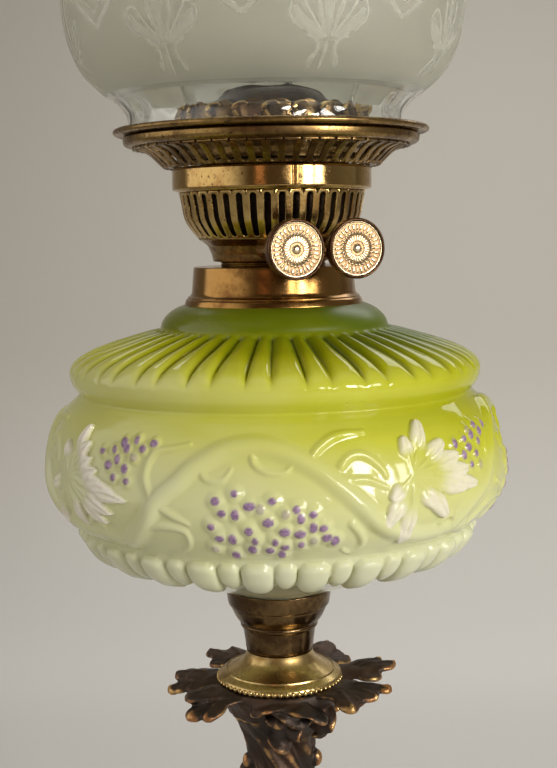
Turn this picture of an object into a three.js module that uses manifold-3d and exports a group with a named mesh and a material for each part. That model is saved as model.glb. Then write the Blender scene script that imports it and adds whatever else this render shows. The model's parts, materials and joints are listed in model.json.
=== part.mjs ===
// Two-wick oil lamp: a cast bronze tree-trunk stand, a green glass font, a brass burner with two
// wick winders, and a glass chimney inside an etched glass shade.
// Millimetres, +Z up. The origin is the centre of the felt's underside, and the lamp's axis is Z.
import * as THREE from 'three';
import { mergeVertices } from 'three/addons/utils/BufferGeometryUtils.js';
import Module from 'manifold-3d';

const wasm = await Module();
wasm.setup();

// Driving dimensions.
const GAP = 0.3; // between solids that rest on each other
const SHEET = 0.9; // pressed brass sheet

// Facets round a turned piece.
const WIDE = 32;
const SLIM = 24;
const FINE = 16;

const felt = { radius: 78, thick: 1.8 };
const foot = { radius: 78, top: 40 };
const trunk = { top: 247.7, lobes: 3, twist: 1.35 };
const leaves = { count: 8, reach: 44, notch: 27, top: 260.4 };
const rod = { radius: 4, low: 3.2, top: 280.4 };
const nut = { acrossCorners: 15, thick: 5.4 };

const cupTop = 296.6; // of the metal cup under the font
const fontNeck = { radius: 27.5, bore: 24, top: 412 };
const collar = { top: 417.1, bore: 19.4 };

const thread = { radius: 19, bore: 17.7, low: 405.5, top: 419.2 };
const basketTop = 451.5;
const slots = { count: 24, width: 3.7, low: 428.8, high: 443 };
const band = { radius: 36.2, low: 444.6, high: 452.7 };
const flareSlots = { count: 26, width: 5, inner: 39.4, outer: 46.6 };
const dish = { floor: 462.8, rim: 57.2 };
const crown = { radius: 33.4, floor: 455, top: 475, prongs: 12 };

const wick = { width: 27, thick: 3, low: 319, top: 466, offset: 6.6 };
const tube = { low: 409, top: 464, wall: 0.7, play: 0.4 };
const winder = { azimuth: 22, offset: 11.1, height: 423.5, start: -15, end: 45.7, radius: 1.5 };
const spur = { radius: 2.9, root: 2.4, teeth: 8, thick: 3, spread: 7 };
const knob = { radius: 10.25, back: 41.5, front: 49 };

const chimney = { foot: 31.5, low: 455.3, top: 708, wall: 1.6 };
const shade = { foot: 49.5, low: 463.1, top: 616, shift: -2, wall: 2.2, crimps: 8, crimp: 2.6 };

// Materials.
const paint = (color, roughness, metalness, opacity = 1) =>
  new THREE.MeshStandardMaterial({ color, roughness, metalness, opacity, transparent: opacity < 1 });
const baize = paint(0x2e4a33, 0.95, 0);
const bronze = paint(0x5b4024, 0.5, 1);
const darkBrass = paint(0x55401f, 0.45, 1);
const brass = paint(0xa08043, 0.35, 1);
const copperBrass = paint(0xb07a3e, 0.35, 1);
const steel = paint(0x8a8a88, 0.45, 1);
const iron = paint(0x3a3836, 0.7, 1);
const plaster = paint(0xcfc8b8, 0.95, 0);
const greenGlass = paint(0xb9c455, 0.15, 0);
const clearGlass = paint(0xf2f6f4, 0.05, 0, 0.25);
const frostedGlass = paint(0xc9c6b4, 0.5, 0, 0.8);
const cotton = paint(0xd8d0bd, 0.95, 0);

// A closed geometry with its corners merged, no sliver on the axis, and its faces pointing out.
function closed(geometry) {
  geometry.deleteAttribute('normal');
  geometry.deleteAttribute('uv');
  const merged = mergeVertices(geometry, 1e-4);
  const place = merged.getAttribute('position');
  const [a, b, c] = [new THREE.Vector3(), new THREE.Vector3(), new THREE.Vector3()];
  const corners = [];
  let volume = 0;
  for (let i = 0; i < merged.index.count; i += 3) {
    const [p, q, r] = [0, 1, 2].map((k) => merged.index.getX(i + k));
    if (p === q || q === r || r === p) continue;
    corners.push(p, q, r);
    b.fromBufferAttribute(place, q).cross(c.fromBufferAttribute(place, r));
    volume += a.fromBufferAttribute(place, p).dot(b);
  }
  merged.setIndex(volume < 0 ? corners.reverse() : corners);
  return merged;
}

// Boolean work on closed geometries.
const toSolid = (geometry) =>
  new wasm.Manifold(
    new wasm.Mesh({
      numProp: 3,
      vertProperties: new Float32Array(geometry.getAttribute('position').array),
      triVerts: new Uint32Array(geometry.index.array),
    }),
  );

function fromSolid(solid) {
  const mesh = solid.getMesh();
  const geometry = new THREE.BufferGeometry();
  geometry.setAttribute('position', new THREE.BufferAttribute(new Float32Array(mesh.vertProperties), 3));
  geometry.setIndex(Array.from(mesh.triVerts));
  return geometry;
}

const cut = (body, tools) =>
  fromSolid(tools.reduce((solid, tool) => solid.subtract(toSolid(tool)), toSolid(body)));

// A solid turned about Z. The outline is [radius, height] points and either closes on itself or
// starts and ends on the axis. reshape, if given, moves each point after turning.
function turned(outline, segments, reshape) {
  const onAxis = outline[0][0] === 0 && outline.at(-1)[0] === 0;
  const points = (onAxis ? outline : [...outline, outline[0]]).map(([r, z]) => new THREE.Vector2(r, z));
  const geometry = new THREE.LatheGeometry(points, segments);
  geometry.rotateX(Math.PI / 2);
  const solid = closed(geometry);
  if (reshape) {
    const place = solid.getAttribute('position');
    for (let i = 0; i < place.count; i++) {
      const [x, y, z] = [place.getX(i), place.getY(i), place.getZ(i)];
      const moved = reshape(Math.hypot(x, y), Math.atan2(y, x), z);
      place.setXYZ(i, moved[0] * Math.cos(moved[1]), moved[0] * Math.sin(moved[1]), moved[2]);
    }
  }
  return solid;
}

// A sheet-metal wall: the outer line, and the same line set back by a thickness.
const walled = (line, thick, rise = 0) => [
  ...line,
  ...line.map(([r, z]) => [r - thick, z + rise]).reverse(),
];

function block(width, depth, low, high) {
  const geometry = new THREE.BoxGeometry(width, depth, high - low);
  geometry.translate(0, 0, (low + high) / 2);
  return closed(geometry);
}

function prism(shape, low, high) {
  const geometry = new THREE.ExtrudeGeometry(shape, {
    depth: high - low,
    bevelEnabled: false,
    curveSegments: 5,
  });
  geometry.translate(0, 0, low);
  return closed(geometry);
}

const ringOf = (count, make) => Array.from({ length: count }, (_, i) => make((i / count) * 2 * Math.PI, i));

// Boxes spread round the axis, each reaching from one radius to another.
const radialCutters = (count, width, inner, outer, low, high, start = 0) =>
  ringOf(count, (angle) => {
    const tool = block(outer - inner, width, low, high);
    tool.translate((inner + outer) / 2, 0, 0);
    tool.rotateZ(angle + start);
    return tool;
  });

const roundHole = (radius) => new THREE.Path().absarc(0, 0, radius, 0, 2 * Math.PI);

function hexNut(low, bore) {
  const outline = ringOf(6, (angle) => {
    const reach = nut.acrossCorners / 2;
    return new THREE.Vector2(reach * Math.cos(angle), reach * Math.sin(angle));
  });
  const shape = new THREE.Shape(outline);
  shape.holes.push(roundHole(bore));
  return prism(shape, low, low + nut.thick);
}

function add(group, name, geometry, material) {
  const mesh = new THREE.Mesh(geometry, material);
  mesh.name = name;
  group.add(mesh);
}

// Stand: everything below the font, clamped by the tie rod.
const stand = new THREE.Group();

function feltPad() {
  return turned([[0, 0], [felt.radius, 0], [felt.radius, felt.thick], [0, felt.thick]], WIDE);
}

function footCasting() {
  const low = felt.thick + GAP;
  const outer = [
    [foot.radius, low], [foot.radius, 6], [75.5, 8.5], [76, 12], [60, 21], [47, 26.5], [38, 33],
    [34, foot.top],
  ];
  const inner = [[8, foot.top], [8, 36.5], [30, 33], [42, 24], [67, 13], [71, low]];
  return turned([...outer, ...inner], WIDE);
}

function footWeight() {
  const low = felt.thick + GAP;
  const seat = 12;
  return turned(
    [[12, low], [69, low], [64, 12], [40, 23], [28, 31.5], [6, 34.5], [6, seat], [12, seat]],
    SLIM,
  );
}

function trunkCasting() {
  const low = foot.top + GAP;
  const outer = [
    [36, low], [31, 48], [24, 60], [19, 80], [17, 105], [16, 135], [15, 165], [13.5, 195], [12.5, 220],
    [12.5, 235], [19, trunk.top],
  ];
  const bore = [[6, trunk.top], [6, 60], [22, low]];
  const wave = (r, angle, z) => {
    if (r < 8 || (z < low + 1 && r < 25)) return [r, angle, z];
    const turn = (trunk.twist * 2 * Math.PI * z) / trunk.top;
    return [r * (1 + 0.11 * Math.cos(trunk.lobes * (angle - turn))), angle, z];
  };
  return turned([...outer, ...bore], SLIM, wave);
}

function leafCrown() {
  const outline = [
    [5, 248.2], [12, 248.2], [22, 256], [36, 260.6], [leaves.reach, 257], [leaves.reach, 259.4],
    [36, 263], [22, 259.2], [20, leaves.top], [5, leaves.top],
  ];
  const [root, level] = [22, 257.6];
  const lobed = (r, angle, z) => {
    if (r <= root) return [r, angle, z];
    const between = 0.5 - 0.5 * Math.cos(leaves.count * angle);
    const reach = leaves.reach - (leaves.reach - leaves.notch) * between ** 2;
    const share = (reach - root) / (leaves.reach - root);
    return [root + share * (r - root), angle, level + share * (z - level)];
  };
  return turned(outline, 2 * WIDE, lobed);
}

function vaseCap() {
  return turned(
    [
      [4.6, 272], [12.6, 272], [15, 269.3], [21.4, 265.6], [24, 262.6], [24, 260.7], [22.6, 260.7],
      [20.5, 264.4], [14.2, 268], [11.4, 270.4], [4.6, 270.4],
    ],
    SLIM,
  );
}

function tieRod() {
  return turned([[0, rod.low], [rod.radius, rod.low], [rod.radius, rod.top], [0, rod.top]], FINE);
}

function footWasher() {
  return turned([[4.5, 10.3], [11, 10.3], [11, 11.7], [4.5, 11.7]], FINE);
}

add(stand, 'felt_pad', feltPad(), baize);
add(stand, 'foot_casting', footCasting(), bronze);
add(stand, 'foot_weight', footWeight(), iron);
add(stand, 'trunk_casting', trunkCasting(), bronze);
add(stand, 'leaf_crown', leafCrown(), bronze);
add(stand, 'vase_cap', vaseCap(), brass);
add(stand, 'tie_rod', tieRod(), steel);
add(stand, 'foot_washer', footWasher(), steel);
add(stand, 'foot_nut', hexNut(4.5, 4.3), steel);
add(stand, 'cap_nut', hexNut(leaves.top + GAP, 4.3), brass);

// Font: the glass oil reservoir between its metal cup and its screw collar.
const font = new THREE.Group();

function fontGlass() {
  const outer = [
    [fontNeck.radius, fontNeck.top], [fontNeck.radius, 404.4], [34.2, 402.2], [41.5, 395.5], [62, 390],
    [75.3, 381], [75.3, 378], [71.8, 372], [79.3, 364.3], [84.5, 343], [82, 335], [75, 326],
    [72.6, 319], [63, 311.6], [46, 305.6], [17.6, cupTop - 0.2], [12.6, 284.6], [0, 284.6],
  ];
  const inner = [
    [0, 302.5], [42, 309.5], [60, 316], [70, 325], [78, 338], [80, 343], [75, 362], [67.4, 372], [70, 380],
    [38, 391.5], [fontNeck.bore, 400], [fontNeck.bore, fontNeck.top],
  ];
  return turned([...inner, ...outer], WIDE);
}

function fontUndermount() {
  return turned(
    [
      [4.3, 272.3], [12.6, 272.3], [14.2, 280.4], [15.6, 282.4], [18.4, 288.5], [19.9, 291.5],
      [19.9, cupTop - 0.5], [18.4, cupTop - 0.5], [18.2, 291.5], [13.6, 281], [4.3, 281],
    ],
    SLIM,
  );
}

function undermountPlaster() {
  return turned([[0, 281.3], [13.1, 281.3], [13.3, 283.4], [12.6, 284.3], [0, 284.3]], FINE);
}

function fontCollar() {
  return turned(
    [
      [32.9, 403.2], [32.1, 405.7], [30.1, 406.9], [29.2, collar.top], [collar.bore, collar.top],
      [collar.bore, 405.2], [20.6, 405.2], [20.6, collar.top - 1.4], [28.4, collar.top - 1.4],
      [29, 406.6], [31.6, 404.8],
    ],
    WIDE,
  );
}

function collarPlaster() {
  return turned(
    [[27.8, 407], [28.6, 407], [28.1, 412.3], [28.1, 415.4], [24.2, 415.4], [24.2, 412.3], [27.8, 412.3]],
    SLIM,
  );
}

add(font, 'font_undermount', fontUndermount(), darkBrass);
add(font, 'undermount_plaster', undermountPlaster(), plaster);
add(font, 'font_glass', fontGlass(), greenGlass);
add(font, 'collar_plaster', collarPlaster(), plaster);
add(font, 'font_collar', fontCollar(), copperBrass);

// Burner. What belongs to a wick is built in a frame of its own: X along the spindles, outward, and
// Y to the side; side is +1 for one wick and -1 for the other.
const burner = new THREE.Group();
const wickFrame = new THREE.Group();
wickFrame.rotation.z = THREE.MathUtils.degToRad(winder.azimuth - 90);
const sides = { right: 1, left: -1 };

const rectangle = (width, depth) =>
  new THREE.Shape([
    new THREE.Vector2(-width / 2, -depth / 2), new THREE.Vector2(width / 2, -depth / 2),
    new THREE.Vector2(width / 2, depth / 2), new THREE.Vector2(-width / 2, depth / 2),
  ]);

// A solid turned about a spindle's axis: the outline's heights run outward along X.
function onSpindle(geometry, side) {
  geometry.rotateY(Math.PI / 2);
  geometry.translate(0, side * winder.offset, winder.height);
  return geometry;
}

const inLampFrame = (geometry) => geometry.rotateZ(wickFrame.rotation.z);

function burnerNeck() {
  return turned(
    [
      [thread.bore, thread.low], [thread.radius, thread.low], [thread.radius, thread.top - 1],
      [20.6, thread.top - 1], [20.6, thread.top], [thread.bore, thread.top],
    ],
    SLIM,
  );
}

function tubePlate() {
  const plate = turned([[0, 419.5], [20.6, 419.5], [20.6, 420.3], [0, 420.3]], SLIM);
  const passage = Object.values(sides).map((side) => {
    const tool = block(tubeOuter.width + 2 * GAP, tubeOuter.thick + 2 * GAP, 415, 425);
    tool.translate(0, side * wick.offset, 0);
    return inLampFrame(tool);
  });
  return cut(plate, passage);
}

function burnerBasket() {
  const outer = [
    [22, 419], [23.9, 424.7], [27, 427], [31.75, 434.7], [33.25, 443.7], [34.6, 444.4],
    [34.6, basketTop],
  ];
  const shell = turned(walled(outer, SHEET), slots.count);
  const half = Math.PI / slots.count;
  const windows = radialCutters(slots.count, slots.width, 20, 36, slots.low, slots.high, half);
  const bushHoles = Object.values(sides).map((side) => {
    const tool = turned([[0, 15], [3.7, 15], [3.7, 32], [0, 32]], FINE);
    return inLampFrame(onSpindle(tool, side));
  });
  return cut(shell, [...windows, ...bushHoles]);
}

const tubeOuter = {
  width: wick.width + 2 * (tube.play + tube.wall),
  thick: wick.thick + 2 * (tube.play + tube.wall),
};

function wickTube(side) {
  const section = rectangle(tubeOuter.width, tubeOuter.thick);
  section.holes.push(new THREE.Path(
    rectangle(wick.width + 2 * tube.play, wick.thick + 2 * tube.play).getPoints(),
  ));
  const body = prism(section, tube.low, tube.top);
  const windows = [-1, 1].map((end) => {
    const tool = block(spur.thick + 1, 3, winder.height - 3.1, winder.height + 3.1);
    tool.translate(end * spur.spread, side * tubeOuter.thick / 2, 0);
    return tool;
  });
  return cut(body, windows).translate(0, side * wick.offset, 0);
}

function wickStrip(side) {
  return block(wick.width, wick.thick, wick.low, wick.top).translate(0, side * wick.offset, 0);
}

function spindleBush(side) {
  return onSpindle(turned([[1.8, 20], [3.4, 20], [3.4, 28], [2.8, 29.5], [1.8, 29.5]], FINE), side);
}

function airDiffuser() {
  const plate = turned([[0, 440], [29.5, 440], [29.5, 440.8], [0, 440.8]], SLIM);
  const passage = block(32, 2 * wick.offset + tubeOuter.thick + 1, 435, 445);
  const holes = ringOf(8, (angle) => {
    const tool = turned([[0, 435], [2, 435], [2, 445], [0, 445]], 6);
    return tool.translate(23.5 * Math.cos(angle), 23.5 * Math.sin(angle), 0);
  });
  return cut(plate, [inLampFrame(passage), ...holes]);
}

function spindle(side) {
  const { start, end, radius } = winder;
  return onSpindle(turned([[0, start], [radius, start], [radius, end], [0, end]], 8), side);
}

function spurWheel(side, end) {
  const outline = ringOf(2 * spur.teeth, (angle, i) => {
    const reach = i % 2 ? spur.root : spur.radius;
    return new THREE.Vector2(reach * Math.cos(angle), reach * Math.sin(angle));
  });
  const shape = new THREE.Shape(outline);
  shape.holes.push(roundHole(winder.radius + GAP));
  const centre = end * spur.spread;
  return onSpindle(prism(shape, centre - spur.thick / 2, centre + spur.thick / 2), side);
}

function knobBody(side) {
  const { radius, back, front } = knob;
  const recess = front - 1.2;
  return onSpindle(
    turned(
      [
        [1.8, back], [4, back], [4, back + 1], [8.8, back + 1], [9.4, back + 2.4], [radius, back + 3],
        [radius, front - 0.4], [radius - 0.6, front], [8.8, front], [8.6, recess], [0, recess],
        [0, winder.end + GAP], [1.8, winder.end + GAP],
      ],
      SLIM,
    ),
    side,
  );
}

function knobFace(side) {
  const low = knob.front - 1.2 + GAP;
  return onSpindle(
    turned([[0, low], [8.2, low], [8.2, low + 0.6], [2, low + 0.6], [1.2, low + 1.2], [0, low + 1.4]], SLIM),
    side,
  );
}

add(burner, 'burner_neck', burnerNeck(), brass);
add(burner, 'tube_plate', tubePlate(), brass);
add(burner, 'burner_basket', burnerBasket(), brass);
add(burner, 'air_diffuser', airDiffuser(), brass);
for (const [name, side] of Object.entries(sides)) {
  add(wickFrame, `wick_tube_${name}`, wickTube(side), brass);
  add(wickFrame, `wick_${name}`, wickStrip(side), cotton);
  add(wickFrame, `spindle_bush_${name}`, spindleBush(side), brass);
  add(wickFrame, `spindle_${name}`, spindle(side), brass);
  add(wickFrame, `spur_front_${name}`, spurWheel(side, 1), brass);
  add(wickFrame, `spur_back_${name}`, spurWheel(side, -1), brass);
  add(wickFrame, `winder_knob_${name}`, knobBody(side), darkBrass);
  add(wickFrame, `knob_face_${name}`, knobFace(side), brass);
}
burner.add(wickFrame);

// Gallery: what carries the chimney and the shade, and lifts off the burner in one piece.
const gallery = new THREE.Group();

function galleryBand() {
  const { radius, low, high } = band;
  return turned([[radius - SHEET, low], [radius, low], [radius, high], [radius - SHEET, high]], WIDE);
}

function galleryFlare() {
  const under = [[35.3, 453], [39, 453.6], [44, 458.4], [47.2, 459.7], [52.2, 460.2]];
  const shell = turned([...under, ...under.map(([r, z]) => [r, z + 1.1]).reverse()], flareSlots.count);
  const { count, width, inner, outer } = flareSlots;
  return cut(shell, radialCutters(count, width, inner, outer, 450, 465, Math.PI / count));
}

function shadeDish() {
  const { floor, rim } = dish;
  return turned(
    [
      [43.5, floor - 1], [53.8, floor - 1], [54.6, floor + 0.6], [rim, floor + 2], [rim, floor + 3],
      [56.2, floor + 3.4], [54.4, floor + 2.4], [52.8, floor], [43.5, floor],
    ],
    WIDE,
  );
}

function chimneyCrown() {
  const { radius, floor, top, prongs } = crown;
  const inner = radius - 0.8;
  const shell = turned(
    [[29, floor - 0.8], [34.6, floor - 0.8], [radius, floor + 3], [radius, top], [inner, top], [inner, floor], [29, floor]],
    SLIM,
  );
  return cut(shell, radialCutters(prongs, 3, 30, 36, floor + 7, top + 1, Math.PI / SLIM));
}

function burnerCone() {
  const dome = turned(
    [
      [28.6, 455.4], [28.3, 462], [26.6, 469.4], [23, 476], [17, 481.2], [8.8, 484.3], [0, 485],
      [0, 484.2], [8.6, 483.5], [16.5, 480.6], [22.3, 475.5], [25.8, 469.1], [27.5, 461.9], [27.8, 455.4],
    ],
    SLIM,
  );
  const flameSlots = Object.values(sides).map((side) => {
    const tool = block(31, 6.2, 466, 490);
    return inLampFrame(tool.translate(0, side * wick.offset, 0));
  });
  return cut(dome, flameSlots);
}

add(gallery, 'gallery_band', galleryBand(), brass);
add(gallery, 'gallery_flare', galleryFlare(), brass);
add(gallery, 'shade_dish', shadeDish(), brass);
add(gallery, 'chimney_crown', chimneyCrown(), brass);
add(gallery, 'burner_cone', burnerCone(), brass);

// Loose glass, and the whole lamp.
const lamp = new THREE.Group();

function chimneyGlass() {
  const line = [
    [chimney.foot, chimney.low], [chimney.foot - 0.5, 470], [36, 496], [37.5, 511], [36, 527],
    [30.5, 556], [26, 595], [24.5, chimney.top],
  ];
  return turned(walled(line, chimney.wall), SLIM);
}

function shadeGlass() {
  const line = [
    [shade.foot, shade.low], [shade.foot, 471], [57.5, 478.3], [66, 486.5], [70.6, 498], [72.2, 514],
    [70, 534], [59, 566], [60, 583], [68, 601], [79.4, shade.top],
  ];
  const crimped = (r, angle, z) => {
    const share = THREE.MathUtils.smoothstep(z, 570, shade.top);
    return [r + share * shade.crimp * Math.cos(shade.crimps * angle), angle, z];
  };
  return turned(walled(line, shade.wall), WIDE, crimped).translate(shade.shift, 0, 0);
}

add(lamp, 'chimney', chimneyGlass(), clearGlass);
add(lamp, 'shade', shadeGlass(), frostedGlass);

lamp.add(stand, font, burner, gallery);

export default lamp;
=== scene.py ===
"""Looks of the two-wick oil lamp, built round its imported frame.

Blender works in metres. Outlines and reliefs are written in millimetres, with heights above the
lowest point of the CAD node that they stand for, and angles from the front, growing to the right.
"""
import json
import math
import random

import bmesh
import bpy
import numpy as np
from mathutils import Matrix, Vector


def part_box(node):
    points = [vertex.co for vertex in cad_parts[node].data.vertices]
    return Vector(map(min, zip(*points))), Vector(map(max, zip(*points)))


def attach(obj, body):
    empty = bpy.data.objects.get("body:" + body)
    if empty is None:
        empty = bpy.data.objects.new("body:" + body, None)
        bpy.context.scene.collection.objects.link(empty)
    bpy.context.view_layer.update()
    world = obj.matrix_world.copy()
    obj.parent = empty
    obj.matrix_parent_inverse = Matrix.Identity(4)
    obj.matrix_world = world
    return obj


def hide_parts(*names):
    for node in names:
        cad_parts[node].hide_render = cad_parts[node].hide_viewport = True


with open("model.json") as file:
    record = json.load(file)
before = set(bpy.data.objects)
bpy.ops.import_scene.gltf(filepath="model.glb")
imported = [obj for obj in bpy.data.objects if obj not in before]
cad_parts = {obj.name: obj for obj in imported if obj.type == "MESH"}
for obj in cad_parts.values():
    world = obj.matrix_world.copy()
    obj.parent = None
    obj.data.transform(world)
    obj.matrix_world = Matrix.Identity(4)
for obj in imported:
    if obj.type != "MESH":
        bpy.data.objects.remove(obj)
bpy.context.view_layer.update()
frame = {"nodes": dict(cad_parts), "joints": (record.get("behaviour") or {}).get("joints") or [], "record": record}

MM = 0.001
TURN = 2 * math.pi


# ---------------------------------------------------------------- places from the frame

def low(node):
    """The height of a CAD node's lowest point, in mm."""
    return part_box(node)[0].z / MM


def high(node):
    """The height of a CAD node's highest point, in mm."""
    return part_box(node)[1].z / MM


def joint(name):
    return next(j for j in frame["joints"] if j["name"] == name)


# ---------------------------------------------------------------- outlines

def spline(points, step):
    """A smooth line through the points, sampled about every step."""
    p = np.array(points, float)
    p = np.vstack([2 * p[0] - p[1], p, 2 * p[-1] - p[-2]])
    out = []
    for a, b, c, d in zip(p, p[1:], p[2:], p[3:]):
        n = max(2, int(np.linalg.norm(c - b) / step))
        t = np.linspace(0, 1, n, endpoint=False)[:, None]
        square, cube = 2 * a - 5 * b + 4 * c - d, 3 * b - a - 3 * c + d
        out.append(0.5 * (2 * b + (c - a) * t + square * t**2 + cube * t**3))
    out.append(p[-2:-1])
    return np.vstack(out)


def chain(*runs):
    """Lines joined end to end, without the doubled point where two meet."""
    out = [np.array(runs[0], float)]
    for run in runs[1:]:
        run = np.array(run, float)
        out.append(run[1:] if np.allclose(run[0], out[-1][-1], atol=1e-3) else run)
    return np.vstack(out)


def rounded(corners, fillet=0.3, arc=4):
    """A closed outline with every corner rounded. A corner is (radius, height) or (radius, height, fillet)."""
    out = []
    for i, corner in enumerate(corners):
        here = np.array(corner[:2], float)
        before = np.array(corners[i - 1][:2], float) - here
        after = np.array(corners[(i + 1) % len(corners)][:2], float) - here
        size = corner[2] if len(corner) > 2 else fillet
        reach = min(size, 0.45 * np.linalg.norm(before), 0.45 * np.linalg.norm(after))
        start = here + before / np.linalg.norm(before) * reach
        end = here + after / np.linalg.norm(after) * reach
        t = np.linspace(0, 1, arc + 1)[:, None]
        out.append((1 - t) ** 2 * start + 2 * t * (1 - t) * here + t**2 * end)
    return np.vstack(out)


def resample(line, step):
    """The same line with a point about every step, corners kept."""
    out = [line[0]]
    for a, b in zip(line, line[1:]):
        n = max(1, int(round(np.linalg.norm(b - a) / step)))
        out += [a + (b - a) * k / n for k in range(1, n + 1)]
    return np.array(out)


def lifted(line, height):
    return np.array(line, float) + (0, height)


def directions(line):
    """The unit direction at each point of a line."""
    along = np.gradient(line, axis=0)
    return along / np.linalg.norm(along, axis=1)[:, None]


# ---------------------------------------------------------------- meshes

def around(radius, angle, height):
    """Points round the lamp's axis."""
    return np.stack(np.broadcast_arrays(radius * np.sin(angle), -radius * np.cos(angle), height), -1)


def grid_faces(rows, columns, wrap_rows=False, wrap_columns=False):
    """Quads between neighbours in a grid of points. Rows run round, columns run along."""
    i, j = np.meshgrid(
        np.arange(rows if wrap_rows else rows - 1),
        np.arange(columns if wrap_columns else columns - 1),
        indexing="ij",
    )
    i2, j2 = (i + 1) % rows, (j + 1) % columns
    return np.stack([i * columns + j, i2 * columns + j, i2 * columns + j2, i * columns + j2], -1).reshape(-1, 4)


def rod_faces(sides, count):
    """Faces of a closed rod whose skin is sides lines of count points each."""
    faces = grid_faces(sides, count, True, False)[:, ::-1].tolist()
    faces.append([k * count for k in range(sides)])
    faces.append([k * count + count - 1 for k in reversed(range(sides))])
    return faces


def in_scene(name, data):
    """A new object in the scene."""
    obj = bpy.data.objects.new(name, data)
    bpy.context.scene.collection.objects.link(obj)
    return obj


class Shape:
    """Points and faces gathered for one piece, with named colours or masks on the points."""

    def __init__(self):
        self.points, self.faces, self.masks, self.count = [], [], {}, 0

    def add(self, points, faces, **masks):
        points = np.asarray(points, float).reshape(-1, 3)
        self.points.append(points)
        self.faces += [[int(k) + self.count for k in face] for face in faces]
        for name, values in masks.items():
            self.masks.setdefault(name, []).append((self.count, np.asarray(values, float).ravel()))
        self.count += len(points)
        return self

    def moved(self, matrix):
        m = np.array(matrix)
        self.points = [p @ m[:3, :3].T + m[:3, 3] for p in self.points]
        return self

    def mesh(self, name):
        mesh = bpy.data.meshes.new(name)
        mesh.from_pydata((np.vstack(self.points) * MM).tolist(), [], self.faces)
        for mask, parts in self.masks.items():
            values = np.zeros(self.count, np.float32)
            for start, part in parts:
                values[start:start + len(part)] = part
            mesh.attributes.new(mask, "FLOAT", "POINT").data.foreach_set("value", values)
        return mesh

    def build(self, name, body, look, slot, replaces=(), sharp=40, weld=False):
        """Makes the piece. look names its material, and sharp is the angle above which an edge stays crisp."""
        mesh = self.mesh(name)
        if weld:
            weld_points(mesh)
        mesh.validate()
        mesh.shade_smooth()
        mesh.set_sharp_from_angle(angle=math.radians(sharp))
        return dress(in_scene(name, mesh), body, look, replaces)


def dress(obj, body, look, replaces=()):
    """Gives a piece its material and its body, and hides the CAD nodes that it stands for."""
    obj.data.materials.clear()
    obj.data.materials.append(MATERIALS[look])
    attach(obj, body)
    if replaces:
        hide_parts(*replaces)
    return obj


def weld_points(mesh, distance=2e-6):
    work = bmesh.new()
    work.from_mesh(mesh)
    bmesh.ops.remove_doubles(work, verts=work.verts, dist=distance)
    bmesh.ops.dissolve_degenerate(work, edges=work.edges, dist=distance)
    work.to_mesh(mesh)
    work.free()


def facing_out(outline):
    """The closed outline turned so that its faces look out."""
    r, z = outline[:, 0], outline[:, 1]
    area = np.sum(r * np.roll(z, -1) - np.roll(r, -1) * z)
    return outline if area > 0 else outline[::-1]


def revolution(outline, steps):
    """The radius, angle and height of every point of an outline turned round the axis."""
    angle = np.linspace(0, TURN, steps, endpoint=False)[:, None]
    return np.broadcast_arrays(outline[None, :, 0], angle, outline[None, :, 1])


def turned(outline, steps, shape=None, **masks):
    """A closed outline turned round the axis. shape(radius, angle, height) may move the points."""
    outline = facing_out(np.array(outline, float))
    radius, angle, height = revolution(outline, steps)
    if shape:
        radius, angle, height = shape(radius, angle, height)
    faces = grid_faces(steps, len(outline), True, True)
    values = {name: make(radius, angle, height) for name, make in masks.items()}
    return Shape().add(around(radius, angle, height), faces, **values)


def spin(name, outline, lift, steps, body, look, slot, node, shape=None):
    """A piece turned from an outline that is lifted by a height."""
    return turned(lifted(outline, lift), steps, shape).build(name, body, look, slot, [node])


def ball(centre, radius, squash, rings, steps):
    """Points and faces of a small ball, closed at its poles with rings of tiny size."""
    up = np.linspace(-math.pi / 2, math.pi / 2, rings + 1)[None, :]
    turn = np.linspace(0, TURN, steps, endpoint=False)[:, None]
    x = np.cos(turn) * np.cos(up)
    y = np.sin(turn) * np.cos(up)
    z = np.sin(up) + 0 * turn
    points = np.stack([x, y, z], -1) * radius * np.array(squash) + np.array(centre)
    return points, grid_faces(steps, rings + 1, True, False)


def tube(line, radii, sides):
    """A closed tube along 3-D points, with a radius at each."""
    line = np.array(line, float)
    radii = np.broadcast_to(radii, len(line))
    along = directions(line)
    side = np.cross(along, (0.02, 0.03, 1))
    side /= np.linalg.norm(side, axis=1)[:, None]
    other = np.cross(along, side)
    turn = np.linspace(0, TURN, sides, endpoint=False)[:, None, None]
    skin = line + radii[:, None] * (side * np.cos(turn) + other * np.sin(turn))
    return skin.reshape(-1, 3), rod_faces(sides, len(line))


# ---------------------------------------------------------------- materials

GLASS_IOR = 1.48
CLEAR_ROUGH = 0.015


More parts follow.
